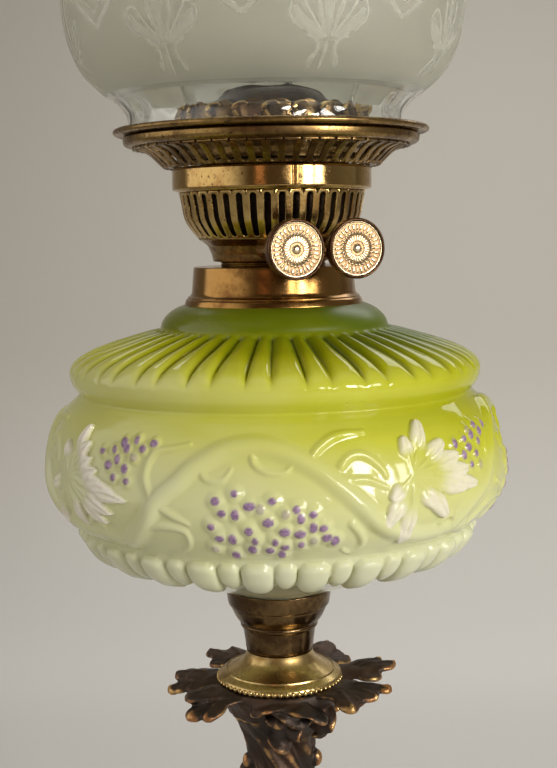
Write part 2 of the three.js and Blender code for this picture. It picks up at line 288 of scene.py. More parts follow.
class Nodes:
    """A material's node tree, with a short call for each kind of node that the lamp needs."""

    def __init__(self, name):
        self.material = bpy.data.materials.new(name)
        self.material.use_nodes = True
        self.tree = self.material.node_tree
        self.shader = self.tree.nodes["Principled BSDF"]
        self.place = self.add("ShaderNodeTexCoord").outputs["Object"]

    def add(self, kind, **settings):
        node = self.tree.nodes.new(kind)
        for key, value in settings.items():
            setattr(node, key, value)
        return node

    def feed(self, socket, value):
        if isinstance(value, bpy.types.NodeSocket):
            self.tree.links.new(value, socket)
        elif value is not None:
            socket.default_value = value

    def stretched(self, scale):
        node = self.add("ShaderNodeMapping")
        self.feed(node.inputs["Vector"], self.place)
        node.inputs["Scale"].default_value = scale
        return node.outputs[0]

    def noise(self, scale, detail, rough=0.55, distortion=0.0, vector=None):
        node = self.add("ShaderNodeTexNoise")
        self.feed(node.inputs["Vector"], vector or self.place)
        node.inputs["Scale"].default_value = scale
        node.inputs["Detail"].default_value = detail
        node.inputs["Roughness"].default_value = rough
        node.inputs["Distortion"].default_value = distortion
        return node.outputs["Fac"]

    def mask(self, name):
        return self.add("ShaderNodeAttribute", attribute_name=name).outputs["Fac"]

    def ramp(self, factor, stops):
        node = self.add("ShaderNodeValToRGB")
        self.feed(node.inputs["Fac"], factor)
        bar = node.color_ramp
        while len(bar.elements) < len(stops):
            bar.elements.new(0.5)
        for element, (position, colour) in zip(bar.elements, stops):
            element.position = position
            element.color = (*colour, 1)
        return node.outputs["Color"]

    def level(self, factor, start, end, out=(0.0, 1.0)):
        node = self.add("ShaderNodeMapRange", interpolation_type="SMOOTHSTEP")
        self.feed(node.inputs["Value"], factor)
        node.inputs["From Min"].default_value = start
        node.inputs["From Max"].default_value = end
        node.inputs["To Min"].default_value = out[0]
        node.inputs["To Max"].default_value = out[1]
        return node.outputs[0]

    def math(self, operation, a, b):
        node = self.add("ShaderNodeMath", operation=operation)
        self.feed(node.inputs[0], a)
        self.feed(node.inputs[1], b)
        return node.outputs[0]

    def times(self, a, b):
        return self.math("MULTIPLY", a, b)

    def plus(self, a, b):
        return self.math("ADD", a, b)

    def larger(self, a, b):
        return self.math("MAXIMUM", a, b)

    def mix(self, factor, a, b):
        node = self.add("ShaderNodeMix", data_type="RGBA")
        self.feed(node.inputs["Factor"], factor)
        for socket, value in ((node.inputs[6], a), (node.inputs[7], b)):
            self.feed(socket, (*value, 1) if isinstance(value, tuple) else value)
        return node.outputs[2]

    def crease(self, distance):
        """Ambient occlusion: 1 in creases and under edges, 0 in the open. Where it darkens a colour, that is
        painted shade.
        """
        node = self.add("ShaderNodeAmbientOcclusion", samples=6, only_local=True)
        node.inputs["Distance"].default_value = distance * MM
        return self.math("SUBTRACT", 1.0, node.outputs["AO"])

    def bump(self, height, depth, strength, under=None):
        node = self.add("ShaderNodeBump")
        node.inputs["Strength"].default_value = strength
        node.inputs["Distance"].default_value = depth * MM
        self.feed(node.inputs["Height"], height)
        if under is not None:
            self.feed(node.inputs["Normal"], under)
        return node.outputs[0]

    def set(self, **inputs):
        for key, value in inputs.items():
            socket = self.shader.inputs[key.replace("_", " ")]
            if isinstance(value, tuple) and len(value) == 3 and socket.type == "RGBA":
                value = (*value, 1)
            self.feed(socket, value)


def srgb(r, g, b):
    """A colour given as 0-255 screen values, as the linear colour that shaders take."""
    return tuple(((c / 255 + 0.055) / 1.055) ** 2.4 if c > 10 else c / 255 / 12.92 for c in (r, g, b))


def metal(name, bright, dull, dark, worn, polish, spots, lines):
    """Old polished metal: bright where it is rubbed, duller in patches, dark in spots, and darker in creases as
    painted shade.
    worn is the share that stays bright, and lines are the fine marks of the lathe."""
    n = Nodes(name)
    patches = n.noise(55, 5, 0.62, 0.6)
    fine = n.noise(420, 4, 0.6)
    blend = n.plus(n.times(patches, 0.7), n.times(fine, 0.3))
    tarnish = n.level(blend, worn - 0.06, worn + 0.16)
    speck = n.level(n.noise(900, 3, 0.7, 0.4), 0.68 - 0.1 * spots, 0.74 - 0.06 * spots)
    # painted shade: creases and under edges, found by ambient occlusion, are darkened towards the dark colour
    # along with the dark specks
    crease = n.level(n.crease(2.2), 0.12, 0.75)
    specks_and_crease_shade = n.larger(n.times(speck, 0.75), crease)
    colour = n.mix(tarnish, srgb(*bright), srgb(*dull))
    colour = n.mix(specks_and_crease_shade, colour, srgb(*dark))
    rough = n.plus(n.times(tarnish, 0.16), n.times(specks_and_crease_shade, 0.3))
    rough = n.plus(rough, polish)
    height = n.bump(fine, 0.05, 0.35)
    if lines:
        height = n.bump(n.noise(1, 3, 0.7, 0, n.stretched((40, 40, 5200))), 0.03 * lines, 0.6, height)
    height = n.bump(n.noise(2600, 2, 0.5), 0.012, 0.5, height)
    n.set(Metallic=1.0, Base_Color=colour, Roughness=rough, Normal=height)
    return n.material


def stamped_brass():
    """Bright pressed brass. The press mask lies on what stands out, and the ground is darker."""
    n = Nodes("stamped_brass")
    patches = n.noise(260, 4, 0.6, 0.4)
    colour = n.mix(n.level(patches, 0.4, 0.75), srgb(222, 205, 170), srgb(190, 166, 126))
    ground = n.mix(n.noise(900, 3), srgb(150, 116, 80), srgb(100, 74, 52))
    colour = n.mix(n.mask("press"), ground, colour)
    colour = n.mix(n.level(n.noise(1500, 3, 0.7), 0.62, 0.7), colour, srgb(70, 46, 34))
    rough = n.plus(n.times(patches, 0.2), 0.16)
    n.set(Metallic=1.0, Base_Color=colour, Roughness=rough, Normal=n.bump(n.noise(1400, 3), 0.03, 0.8))
    return n.material


def green_glass():
    """Opaque cased glass. The green, paint and dot masks lie on the font's points, and the green mask also carries
    painted light and shade.
    """
    n = Nodes("green_glass")
    drift = n.times(n.math("SUBTRACT", n.noise(38, 3, 0.5, 0.5), 0.5), 0.12)
    pigment = n.plus(n.mask("pigment"), drift)
    glass = n.ramp(pigment, [
        (0.00, srgb(216, 218, 190)), (0.14, srgb(214, 216, 166)), (0.28, srgb(210, 211, 132)),
        (0.44, srgb(198, 200, 66)), (0.60, srgb(176, 178, 24)), (0.78, srgb(136, 142, 8)),
        (1.00, srgb(84, 100, 4)),
    ])
    # painted shade: the glass turns a darker olive in creases and under edges
    glass = n.mix(n.times(n.level(n.crease(3.0), 0.15, 0.95), 0.3), glass, srgb(132, 138, 56))
    strokes = n.noise(1, 3, 0.6, 0.5, n.stretched((500, 500, 1100)))
    white = n.times(n.mask("paint"), n.level(strokes, 0.3, 0.55, (0.7, 1.0)))
    colour = n.mix(white, glass, srgb(240, 233, 220))
    plum = n.mix(n.level(n.noise(700, 2), 0.35, 0.65), srgb(130, 102, 136), srgb(164, 138, 168))
    colour = n.mix(n.mask("dot"), colour, plum)
    painted = n.larger(n.mask("paint"), n.mask("dot"))
    satin = n.level(n.mask("pigment"), 0.84, 0.95, (0.0, 0.26))
    rough = n.plus(n.times(painted, 0.22), n.level(n.noise(60, 3), 0.3, 0.8, (0.05, 0.11)))
    rough = n.plus(rough, satin)
    rough = n.plus(rough, n.times(n.level(n.crease(3.0), 0.1, 0.6), 0.3))
    relief = n.bump(n.noise(160, 3, 0.5), 0.12, 0.35)
    relief = n.bump(n.times(strokes, white), 0.12, 0.7, relief)
    n.set(Base_Color=colour, Roughness=rough, Normal=relief, IOR=1.45, Specular_IOR_Level=0.42)
    n.set(Subsurface_Weight=0.12, Subsurface_Radius=(1.0, 0.9, 0.35), Subsurface_Scale=0.004)
    return n.material


def blown(n):
    """The slow waves of blown glass."""
    return n.bump(n.noise(45, 2, 0.4, 0.3), 0.25, 0.5)


def clear_glass():
    n = Nodes("clear_glass")
    n.set(Base_Color=(0.97, 0.985, 0.975), Roughness=CLEAR_ROUGH, IOR=GLASS_IOR, Transmission_Weight=1.0)
    n.set(Normal=blown(n))
    return n.material


def etched_glass():
    """Frosted where the frost mask is 1, clear at the foot."""
    n = Nodes("etched_glass")
    frost = n.mask("frost")
    grain = n.noise(5200, 2, 0.6)
    rough = n.times(frost, n.level(grain, 0.2, 0.8, (0.46, 0.58)))
    colour = n.mix(frost, (0.97, 0.985, 0.97), srgb(238, 237, 224))
    height = n.bump(n.times(grain, frost), 0.01, 0.6, blown(n))
    through = n.level(frost, 0.0, 1.0, (0.98, 0.84))
    n.set(Base_Color=colour, Roughness=n.plus(rough, CLEAR_ROUGH), IOR=GLASS_IOR)
    n.set(Transmission_Weight=through, Normal=height)
    return n.material


def etched_motif():
    """The deeper-cut motif, a little whiter than the frosted ground, fading at its edges."""
    n = Nodes("etched_motif")
    shade = n.mix(n.noise(700, 3), srgb(222, 222, 208), srgb(240, 240, 228))
    fill = n.level(n.mask("fill"), 0.0, 0.9, (0.02, 0.36))
    n.set(Base_Color=shade, Roughness=0.45, IOR=1.4, Transmission_Weight=0.3)
    n.set(Alpha=fill, Normal=n.bump(n.noise(3000, 2), 0.02, 0.5))
    return n.material


def cast_bronze():
    """Dark bronzed casting. Edges and high spots, marked by the rub mask, are worn to copper and gold."""
    n = Nodes("cast_bronze")
    rub = n.mask("rub")
    patch = n.noise(190, 4, 0.65, 0.4)
    wear = n.plus(rub, n.times(n.math("SUBTRACT", patch, 0.5), 1.6))
    wear = n.level(wear, 0.4, 0.95)
    base = n.mix(n.level(n.noise(60, 3), 0.35, 0.7), srgb(62, 54, 48), srgb(88, 66, 52))
    gold = n.mix(n.level(n.noise(120, 2), 0.4, 0.62), srgb(176, 124, 78), srgb(204, 164, 104))
    colour = n.mix(wear, base, gold)
    # painted shade: creases and under edges are darkened almost to black
    colour = n.mix(n.level(n.crease(4), 0.2, 0.9), colour, srgb(24, 19, 16))
    rough = n.level(wear, 0, 1, (0.5, 0.28))
    height = n.bump(n.noise(420, 5, 0.65), 0.4, 0.8)
    height = n.bump(n.noise(1800, 3, 0.6), 0.06, 0.6, height)
    n.set(Metallic=0.75, Base_Color=colour, Roughness=rough, Normal=height)
    return n.material


def plain(name, light, dark, scale, rough=0.9, depth=0.2, metallic=0.0):
    """A matt or half-matt surface with mottling and a fine grain."""
    n = Nodes(name)
    colour = n.mix(n.level(n.noise(scale, 5, 0.65), 0.35, 0.65), dark, light)
    height = n.bump(n.noise(scale * 4, 3, 0.7), depth, 0.7)
    n.set(Base_Color=colour, Roughness=rough, Metallic=metallic, Normal=height)
    return n.material


def woven(name, light, dark, pitch):
    """Plain-woven cotton tape with its threads."""
    n = Nodes(name)

    def threads(axis):
        wave = n.add("ShaderNodeTexWave", wave_type="BANDS", bands_direction=axis)
        n.feed(wave.inputs["Vector"], n.place)
        wave.inputs["Scale"].default_value = 0.31 / (pitch * MM)
        wave.inputs["Distortion"].default_value = 0.6
        wave.inputs["Detail"].default_value = 1.0
        return wave.outputs["Fac"]

    weave = n.times(threads("X"), threads("Z"))
    colour = n.mix(weave, dark, light)
    n.set(Base_Color=colour, Roughness=0.95, Normal=n.bump(weave, 0.3, 0.8))
    return n.material


# each metal's bright, dull and dark colour, then metal()'s worn, polish, spots and lines
METALS = {
    "brass": ((208, 178, 116), (146, 112, 62), (48, 30, 18), 0.49, 0.17, 0.8, 0.5),
    "polished_brass": ((192, 160, 100), (152, 112, 64), (58, 36, 22), 0.53, 0.1, 0.9, 0.3),
    "pale_brass": ((210, 183, 124), (152, 122, 72), (54, 38, 20), 0.5, 0.26, 0.5, 0),
    "copper_brass": ((160, 120, 66), (116, 80, 43), (46, 28, 16), 0.5, 0.17, 0.4, 0.8),
    "dark_brass": ((126, 102, 68), (82, 62, 42), (30, 22, 14), 0.48, 0.14, 0.5, 0.5),
    "patina": ((158, 128, 78), (100, 76, 48), (40, 26, 16), 0.46, 0.24, 1.1, 0.4),
    # dark brass inside the burner: soot, and painted shade for the dark seen through its slots
    "soot_and_shade_brass": ((70, 56, 40), (38, 30, 24), (14, 11, 9), 0.4, 0.4, 0.8, 0),
    "knob_side": ((122, 90, 62), (70, 46, 34), (28, 18, 14), 0.46, 0.16, 0.5, 0),
    "steel": ((176, 174, 168), (112, 108, 102), (46, 38, 32), 0.5, 0.3, 0.4, 0),
}
MATERIALS = {name: metal(name, *row) for name, row in METALS.items()}
MATERIALS.update({
    "iron": plain("iron", srgb(66, 60, 56), srgb(34, 30, 28), 260, 0.75, 0.4, 0.6),
    "plaster": plain("plaster", srgb(214, 206, 190), srgb(180, 170, 150), 220),
    "old_plaster": plain("old_plaster", srgb(70, 52, 36), srgb(30, 22, 16), 700, 0.9, 0.5),
    "baize": plain("baize", srgb(52, 86, 58), srgb(28, 54, 36), 1500, 1.0, 0.5),
    "cotton": woven("cotton", srgb(226, 216, 194), srgb(168, 154, 126), 0.9),
    "knob_face": stamped_brass(),
    "green_glass": green_glass(),
    "clear_glass": clear_glass(),
    "etched_glass": etched_glass(),
    "etched_motif": etched_motif(),
    "bronze": cast_bronze(),
})
SOOT_AND_SHADE_NODES = ("wick_tube_right", "wick_tube_left", "tube_plate", "air_diffuser")


def finish_cad_nodes():
    """The CAD nodes that stay get their slot's material. Inside the burner they are made dark, for soot and as
    painted shade.
    """
    for row in frame["record"]["subparts"]:
        node = frame["nodes"][row["node"]]
        node.data.materials.clear()
        node.data.materials.append(MATERIALS["soot_and_shade_brass" if row["node"] in SOOT_AND_SHADE_NODES else row["material_slot"]])


# ---------------------------------------------------------------- the font's moulded glass

def dome(distance, reach):
    """1 at the middle and 0 at the reach, rounded like a half ellipse."""
    return np.sqrt(np.clip(1 - (distance / reach) ** 2, 0, 1))


def soft(distance, reach):
    """1 at the middle and 0 at the reach, with a soft foot."""
    return np.clip(1 - (distance / reach) ** 2, 0, 1) ** 2


def ease(value, start, end):
    t = np.clip((value - start) / (end - start), 0, 1)
    return t * t * (3 - 2 * t)


def off_line(u, v, line):
    """The distance of each (u, v) from a line, and how far along the line its nearest point is, 0 to 1."""
    lengths = np.linalg.norm(np.diff(line, axis=0), axis=1)
    starts = np.concatenate([[0], np.cumsum(lengths)])
    best = np.full(u.shape, 1e9)
    where = np.zeros(u.shape)
    for (a, b), length, start in zip(zip(line, line[1:]), lengths, starts):
        d = (b - a) / max(length, 1e-9)
        t = np.clip((u - a[0]) * d[0] + (v - a[1]) * d[1], 0, length)
        gap = np.hypot(u - a[0] - t * d[0], v - a[1] - t * d[1])
        nearer = gap < best
        best[nearer] = gap[nearer]
        where[nearer] = ((start + t) / starts[-1])[nearer]
    return best, where


class Skin:
    """The relief of the font as a map over its (degrees, height) grid. Sizes on it are in mm, taken at
    one radius, which suits the near-upright band that carries the vine."""

    RADIUS = 81

    def __init__(self, degrees, heights):
        self.degrees, self.heights = degrees, heights
        self.relief = np.zeros(degrees.shape)
        self.paint = np.zeros(degrees.shape)
        self.dot = np.zeros(degrees.shape)

    def raise_to(self, near, relief):
        self.relief[near] = np.maximum(self.relief[near], relief)

    def window(self, points, margin):
        """The part of the map near some points, as flat places and their (u, v) in mm round the first point."""
        points = np.array(points, float)
        centre = points[0, 0]
        across = math.radians(1) * self.RADIUS
        u = ((self.degrees - centre + 180) % 360 - 180) * across
        spread = ((points[:, 0] - centre + 180) % 360 - 180) * across
        near = (u > spread.min() - margin) & (u < spread.max() + margin)
        near &= (self.heights > points[:, 1].min() - margin) & (self.heights < points[:, 1].max() + margin)
        return near, u[near], self.heights[near], np.stack([spread, points[:, 1]], -1)

    def vine(self, points, width, height, ends=(1, 1)):
        """A raised stem along the points. ends are its widths at its first and last point, as shares."""
        near, u, v, line = self.window(points, 2 * width)
        gap, where = off_line(u, v, spline(line, 1.5))
        share = np.interp(where, [0, 0.5, 1], [ends[0], 1, ends[1]])
        raised = height * share**0.7 * soft(gap, 0.78 * width * share)
        self.raise_to(near, raised)

    def petal(self, root, tip, width, height, paint, bluntness):
        """A raised lobe from its root to its tip, painted towards the tip."""
        near, u, v, (a, b) = self.window([root, tip], width)
        length = np.linalg.norm(b - a)
        d = (b - a) / length
        t = ((u - a[0]) * d[0] + (v - a[1]) * d[1]) / length
        gap = np.abs((v - a[1]) * d[0] - (u - a[0]) * d[1])
        inside = np.clip(t, 0, 1)
        swell, close = np.minimum(1, 0.5 + 1.3 * inside), np.minimum(1, 2.1 * (1 - inside))
        half = width / 2 * swell * close**bluntness + 1e-6
        shape = dome(gap, half) * ((t > 0) & (t < 1))
        groove = 1 - 0.35 * soft(gap, 0.8)
        raised = height * shape**0.8 * groove * (0.3 + 0.7 * ease(t, 0.0, 0.6))
        self.raise_to(near, raised)
        colour = paint * ease(t, 0.12, 0.6) * ease(shape, 0.1, 0.6)
        self.paint[near] = np.maximum(self.paint[near], colour)

    def leaf(self, junction, tips, paint, bluntness, width):
        """A vine leaf: a low palm with veins, and a painted lobe at the end of every vein."""
        across = math.radians(1) * self.RADIUS
        near, u, v, _ = self.window([junction], 16)
        self.raise_to(near, 0.9 * soft(np.hypot(u, v - junction[1]), 13))
        for tip in tips:
            du, dv = (tip[0] - junction[0]), tip[1] - junction[1]
            length = math.hypot(du * across, dv)
            at = lambda share: (junction[0] + share * du, junction[1] + share * dv)
            self.petal(at(0.34), tip, min(width, 0.34 * length + 1.6), 2.0, paint, bluntness)
            self.vine([junction, at(0.5), at(0.9)], 2.0, 1.2, (1, 0.4))

    def grape(self, place, size, number):
        """A low round grape with a dot of enamel on it."""
        near, u, v, _ = self.window([place], 2 * size)
        v = v - place[1]
        lean = 0.16 * math.sin(2.7 * number)
        self.raise_to(near, 1.15 * soft(np.hypot(u, v), 1.25 * size) ** 0.8)
        gap = np.hypot(u * (1 + lean) + 0.2 * lean * v, v * (1 - lean))
        reach = 1.5 + 0.22 * math.sin(5.1 * number)
        enamel = np.clip((reach - gap) / 0.3, 0, 1)
        self.relief[near] += 0.25 * enamel * dome(gap, reach)
        self.dot[near] = np.maximum(self.dot[near], enamel * (0.45 if number % 8 == 5 else 1))


FONT_SIDE = [
    (27.4, 412), (27.4, 404.6), (31, 403.8), (34.4, 402.8), (37.6, 401.2), (40, 399.1), (41.4, 397),
    (41.8, 395.6), (43, 394.5), (48, 393.3), (55, 391.3), (62, 389.2), (68.4, 386.8), (72.6, 384.4),
    (75, 381.6), (75.4, 379), (74.6, 375.8), (72.7, 373.2), (71.9, 371.9), (73.2, 370.6), (76.2, 367.8),
    (79.1, 364),
    (81.3, 358.4), (83.2, 351.1), (84.3, 343.6), (83.4, 338.2), (81, 333.2), (77.6, 329), (74.6, 326.2),
    (72.9, 324.6), (72, 322.6), (70.8, 320.3), (68.4, 317.2), (64.6, 314.4), (60, 312.4), (54, 310),
    (46, 306.8), (33, 301.6), (20.2, 297), (17.2, 296.6),
]
FONT_INSIDE = [
    (16.6, 293), (12.6, 284.9), (4, 284.6), (0.4, 284.6), (0.4, 302.5), (42, 309.5), (60, 316), (70, 325),
    (78, 338), (78.6, 343), (75, 360), (67.4, 372), (69, 379), (38, 391.5), (24, 400), (24, 411.4), (24.6, 412),
]

# One quarter of the moulded vine, as (degrees from the front, height). It repeats every 90 degrees.
VINE_FRONT = [
    (-38, 329.5), (-34, 333), (-30, 338.6), (-27, 345.6), (-22.6, 351.2), (-18.6, 356.4), (-12.4, 361.4),
    (-6, 363), (-1, 362.2), (4, 359.6), (9, 355.6), (13.9, 349.8), (18.6, 343.4), (24.2, 336.1),
    (33.4, 331), (42, 330.4),
]
# In the second quarter the vine rises from here to the crest instead.
VINE_RISE = [
    (46, 331.9), (50.7, 338.9), (57, 345), (62, 353), (66.5, 361), (74.5, 367.6), (83, 367.2), (90, 364.4),
]
# each tendril's points, width and height
TENDRILS = [
    ([(7.0, 358.2), (9, 361.6), (12, 364.4), (15.5, 365.7), (20.8, 366)], 2.2, 0.9),
    ([(-5.7, 362), (-4.9, 357.8), (-2.1, 355.3), (1.9, 355.2), (3.9, 358.2)], 1.9, 0.8),
    ([(-28.8, 347), (-30.4, 353.1), (-28.6, 360.1), (-24.3, 361.7), (-20, 363.2)], 2.2, 0.8),
    ([(-36, 330), (-30, 336), (-25, 337), (-20.7, 335.6), (-20.6, 331), (-22.6, 328.4)], 2.4, 0.8),
    ([(-26, 343), (-22.5, 340.5), (-19.8, 338.6)], 2.2, 0.7),
    ([(16.4, 337.9), (18.9, 333.7), (19.9, 329.9), (17.6, 327), (15.4, 328.6)], 2.2, 0.75),
    ([(14.2, 356.4), (16.5, 359.2), (20.1, 359.1), (23.6, 354.9), (24.6, 352)], 2.2, 0.8),
    ([(-17.6, 356.6), (-15.4, 352.9), (-11.8, 352.8), (-10, 356.2)], 1.9, 0.6),
    ([(11, 354.5), (15.5, 352), (20, 351.6), (25, 348.5)], 1.8, 0.6),
    ([(12, 351.5), (14.5, 347.6), (18, 346.8)], 1.8, 0.5),
    ([(-44, 333), (-46.5, 336.4), (-49.6, 334), (-46.6, 331)], 2.0, 0.8),
]
# each leaf's junction and the tips of its lobes
LEAF_RIGHT = ((31.3, 351.8), [
    (36.1, 367.5), (30.2, 363.6), (41.8, 360.6), (46.2, 355.6), (49, 350.6), (51.7, 345), (47, 344.4),
    (41.3, 336.6), (37, 340.4), (24.5, 336.6), (29.6, 329.4), (25.2, 344.4),
])
LEAF_LEFT = ((-57, 348.5), [
    (-51.4, 366.4), (-49.2, 361.4), (-47.6, 356.1), (-45, 352.5), (-42, 348.7), (-38.5, 346.7),
    (-34.7, 344), (-39.5, 338.9), (-41.9, 335.6), (-50, 333.5), (-63.3, 328.5), (-64.5, 344), (-60, 360),
])
GRAPES_LOW = [
    (-13.2, 346.4), (-9.1, 348.8), (-11.8, 342.8), (-8.9, 342.4), (-5.9, 345), (-3.6, 344.1), (-1.1, 346.5),
    (-14.3, 338.5), (-6.2, 337.2), (-2, 340), (-9.9, 334.3), (-12.8, 334.6), (-5, 333.8), (-14.4, 330.5),
    (-9.8, 328.3), (-5.7, 330.7), (-1.8, 330.4), (-0.6, 333.4), (1.6, 331.5), (0.9, 328.7), (1.5, 336.8),
    (1.7, 342.6), (4, 343.9), (7.5, 342.2), (4.9, 341), (4.8, 336), (7.6, 338), (9.8, 337.7), (5.2, 332.4),
    (7.9, 333.6), (10.8, 334.4), (12.8, 333),
]
GRAPES_HIGH = [
    (-29, 362.7), (-33.8, 363.3), (-31.8, 360.9), (-36.4, 360.6), (-37.5, 362.3), (-34, 358), (-40, 359.8),
    (-44, 358.9), (-38.7, 356.9), (-41.4, 354.8), (-36.2, 354.3), (-39.2, 351.2), (-35.2, 350.5),
]
# A wide and a narrow band take turns, 24 of each, on the disc above and in the lobes below.
PAIRS = 24
DISC_WIDE = (3.2, 0.6)  # centre in degrees, and share of a pair
LOBE_WIDE = (9.4, 0.59)


# how far down the shoulder's curve each height is, as (-height, mm)
LOBE_DEPTHS = [
    (-324.6, -1), (-323.6, 0), (-320.3, 3.6), (-317.2, 7.5), (-314.4, 12.3), (-312.4, 17.3), (-310, 23.8),
]


def bands(degrees, wide):
    """For each place: how far across its band it is, -1 to 1, its half width in degrees, and if it is wide."""
    centre, share = wide
    pair = 360 / PAIRS
    across = (degrees - centre + pair / 2) % pair - pair / 2
    is_wide = np.abs(across) < share * pair / 2
    narrow = (1 - share) * pair / 2
    beyond = np.abs(across) - share * pair / 2
    half = np.where(is_wide, share * pair / 2, narrow)
    place = np.where(is_wide, across, beyond - narrow) / half
    return place, half, is_wide


def disc_relief(degrees, radius, heights):
    """Convex bands that run out over the disc, with a crease between that tapers out at its edge."""
    place, _, is_wide = bands(degrees, DISC_WIDE)
    bend = 1.75 + 1.5 * ease(radius, 50, 72)
    reach = ease(radius, 42.2, 43.8) * ease(heights, 378.6, 387.4)
    depth = np.where(is_wide, 2.2, 1.7) * np.minimum(1, radius / 56)
    return np.where(heights > 376, -depth * np.abs(place) ** bend * reach, 0)


def lobe_relief(degrees, radius, heights):
    """Full lobes that hang round the shoulder below the vine, rounded at their tops and their points."""
    place, half, is_wide = bands(degrees, LOBE_WIDE)
    wide = np.radians(half) * radius
    down = np.interp(-heights, *zip(*LOBE_DEPTHS))
    reach = np.where(is_wide, 23.5, 14.5)
    top = np.clip(1 - (down - 2.6 * np.abs(place) ** 3) / 2.2, 0, 1)
    upper = np.sqrt(1 - top**2)
    lower = np.sqrt(1 - np.clip((down / reach - 0.3) / 0.7, 0, 1) ** 2)
    body = dome(np.abs(place) * wide, np.maximum(0.98 * wide * lower, 1e-3))
    height = np.where(is_wide, 2.7, 1.9)
    return np.where((heights < 324.6) & (heights > 305), height * body**0.85 * upper * lower**0.6, 0)


# the green at each height
PIGMENT = [
    (284, 0.12), (312, 0.06), (322, 0.08), (330, 0.14), (340, 0.19), (350, 0.25), (358, 0.34), (366, 0.44),
    (372, 0.47), (378, 0.41), (383, 0.42), (388, 0.57), (391, 0.72), (394.5, 0.84), (396, 0.95), (412, 1.0),
]


def pigment(degrees, heights):
    """How much green the cased glass holds: deep at the neck, almost white at the foot. Painted shade deepens it
    towards the right, and painted light pales it towards the left.
    """
    # painted light and shade: between the lobes and the neck the green is deepened towards the right and paled
    # towards the left
    side = 0.5 + 0.5 * np.sin(np.radians(degrees - 18))
    base = np.interp(heights, *zip(*PIGMENT))
    strength = ease(heights, 322, 360) * (1 - 0.6 * ease(heights, 392, 397))
    return base + (0.36 * side - 0.15) * strength


def font_glass():
    side = resample(spline(FONT_SIDE, 0.5), 0.55)
    outline = np.vstack([side, np.array(FONT_INSIDE)])
    steps, count = 1080, len(side)
    radius, angle, height = revolution(outline, steps)
    along = directions(outline)
    degrees = np.degrees(angle)
    r, z, deg = (m[:, :count] for m in (radius, height, degrees))
    skin = Skin(deg, z)
    for quarter in range(4):
        by = 90 * quarter
        shift = lambda points: [(a + by, z) for a, z in points]
        if quarter == 1:
            skin.vine(VINE_RISE + shift(VINE_FRONT[8:]), 5.4, 1.9)
        else:
            skin.vine(shift(VINE_FRONT), 5.4, 1.9)
        skin.vine(shift([(40, 330.6), (46, 331), (52, 329.5)]), 5, 1.7)
        for points, width, raised in TENDRILS:
            skin.vine(shift(points), 1.15 * width, 1.25 * raised, (1, 0.55))
        if quarter in (0, 1):
            (junction, tips), turn, look = LEAF_RIGHT, by, (0.72, 0.36, 6.6)
        else:
            (junction, tips), turn, look = LEAF_LEFT, by + 90, (0.95, 0.75, 5.8)
        skin.leaf((junction[0] + turn, junction[1]), [(a + turn, z) for a, z in tips], *look)
        for n, place in enumerate(shift(GRAPES_LOW) + shift(GRAPES_HIGH)):
            skin.grape(place, 3.0 if n < len(GRAPES_LOW) else 2.4, n + quarter)
    raised = skin.relief * ease(z, 324.5, 327.5) * (1 - ease(z, 369, 371))
    flutes = disc_relief(deg, r, z)
    relief, paint, dot, crease = (
        np.hstack([part, np.zeros((steps, len(outline) - count))])
        for part in (raised + flutes + lobe_relief(deg, r, z), skin.paint, skin.dot, np.clip(-flutes, 0, 2)))
    # painted shade: the flute grooves get a deeper green, and the raised relief is made a little paler
    green = pigment(degrees, height) + 0.09 * crease - 0.02 * np.clip(relief, 0, 2)
    shape = Shape().add(
        around(radius - along[:, 1] * relief, angle, height + along[:, 0] * relief),
        grid_faces(steps, len(outline), True, True)[:, ::-1],
        pigment=np.clip(green, 0, 1), paint=paint, dot=dot,
    )
    shape.build("font_glass_moulded", "font", "green_glass", "green_glass", ["font_glass"], sharp=60)


# ---------------------------------------------------------------- pierced sheet brass

def pierced(line, cells, first, hole, rings=3):
    """A thin ring of sheet metal along a line of (radius, height), with one hole in each cell.
    hole lists the hole's rim anticlockwise from its lower right, as (share of the cell's width, share of
    the line's length), and has as many points on each side as below."""
    line = resample(np.array(line, float), 0.4)
    lengths = np.concatenate([[0], np.cumsum(np.linalg.norm(np.diff(line, axis=0), axis=1))])
    lengths /= lengths[-1]

    def on_line(share):
        return np.interp(share, lengths, line[:, 0]), np.interp(share, lengths, line[:, 1])

    hole = np.array(hole, float)
    centre = hole.mean(0)
    corner_at = 0.82 * np.abs(hole[:, 0] - centre[0]).max()
    outer = []
    for x, y in hole:
        if abs(x - centre[0]) > corner_at:
            outer.append((math.copysign(0.5, x - centre[0]), y))
        else:
            outer.append((x / corner_at * 0.5, 1.0 if y > centre[1] else 0.0))
    outer = np.array(outer)
    shape = Shape()
    n = len(hole)
    for cell in range(cells):
        loops = []
        for k in range(rings + 1):
            loop = outer + (hole - outer) * k / rings
            radius, height = on_line(loop[:, 1])
            angle = math.radians(first) + (cell + loop[:, 0]) * TURN / cells
            loops.append(around(radius, angle, height))
        points = np.stack(loops)
        shape.add(points, grid_faces(rings + 1, n, False, True))
        corners = []
        for x, y in ((0.5, 1.0), (-0.5, 1.0), (-0.5, 0.0), (0.5, 0.0)):
            radius, height = on_line(y)
            side = np.where((outer[:, 0] == x), np.abs(outer[:, 1] - y), 9).argmin()
            flat = np.where((outer[:, 1] == y), np.abs(outer[:, 0] - x), 9).argmin()
            angle = math.radians(first) + (cell + x) * TURN / cells
            corner = around(radius, angle, height)
            corners.append((corner, points[0, side], points[0, flat]))
        for corner, a, b in corners:
            normal = np.cross(a - corner, b - corner)
            out = corner * (1, 1, 0)
            order = [0, 1, 2] if normal @ out - normal[2] * 5 > 0 else [0, 2, 1]
            shape.add([corner, a, b], [order])
    return shape


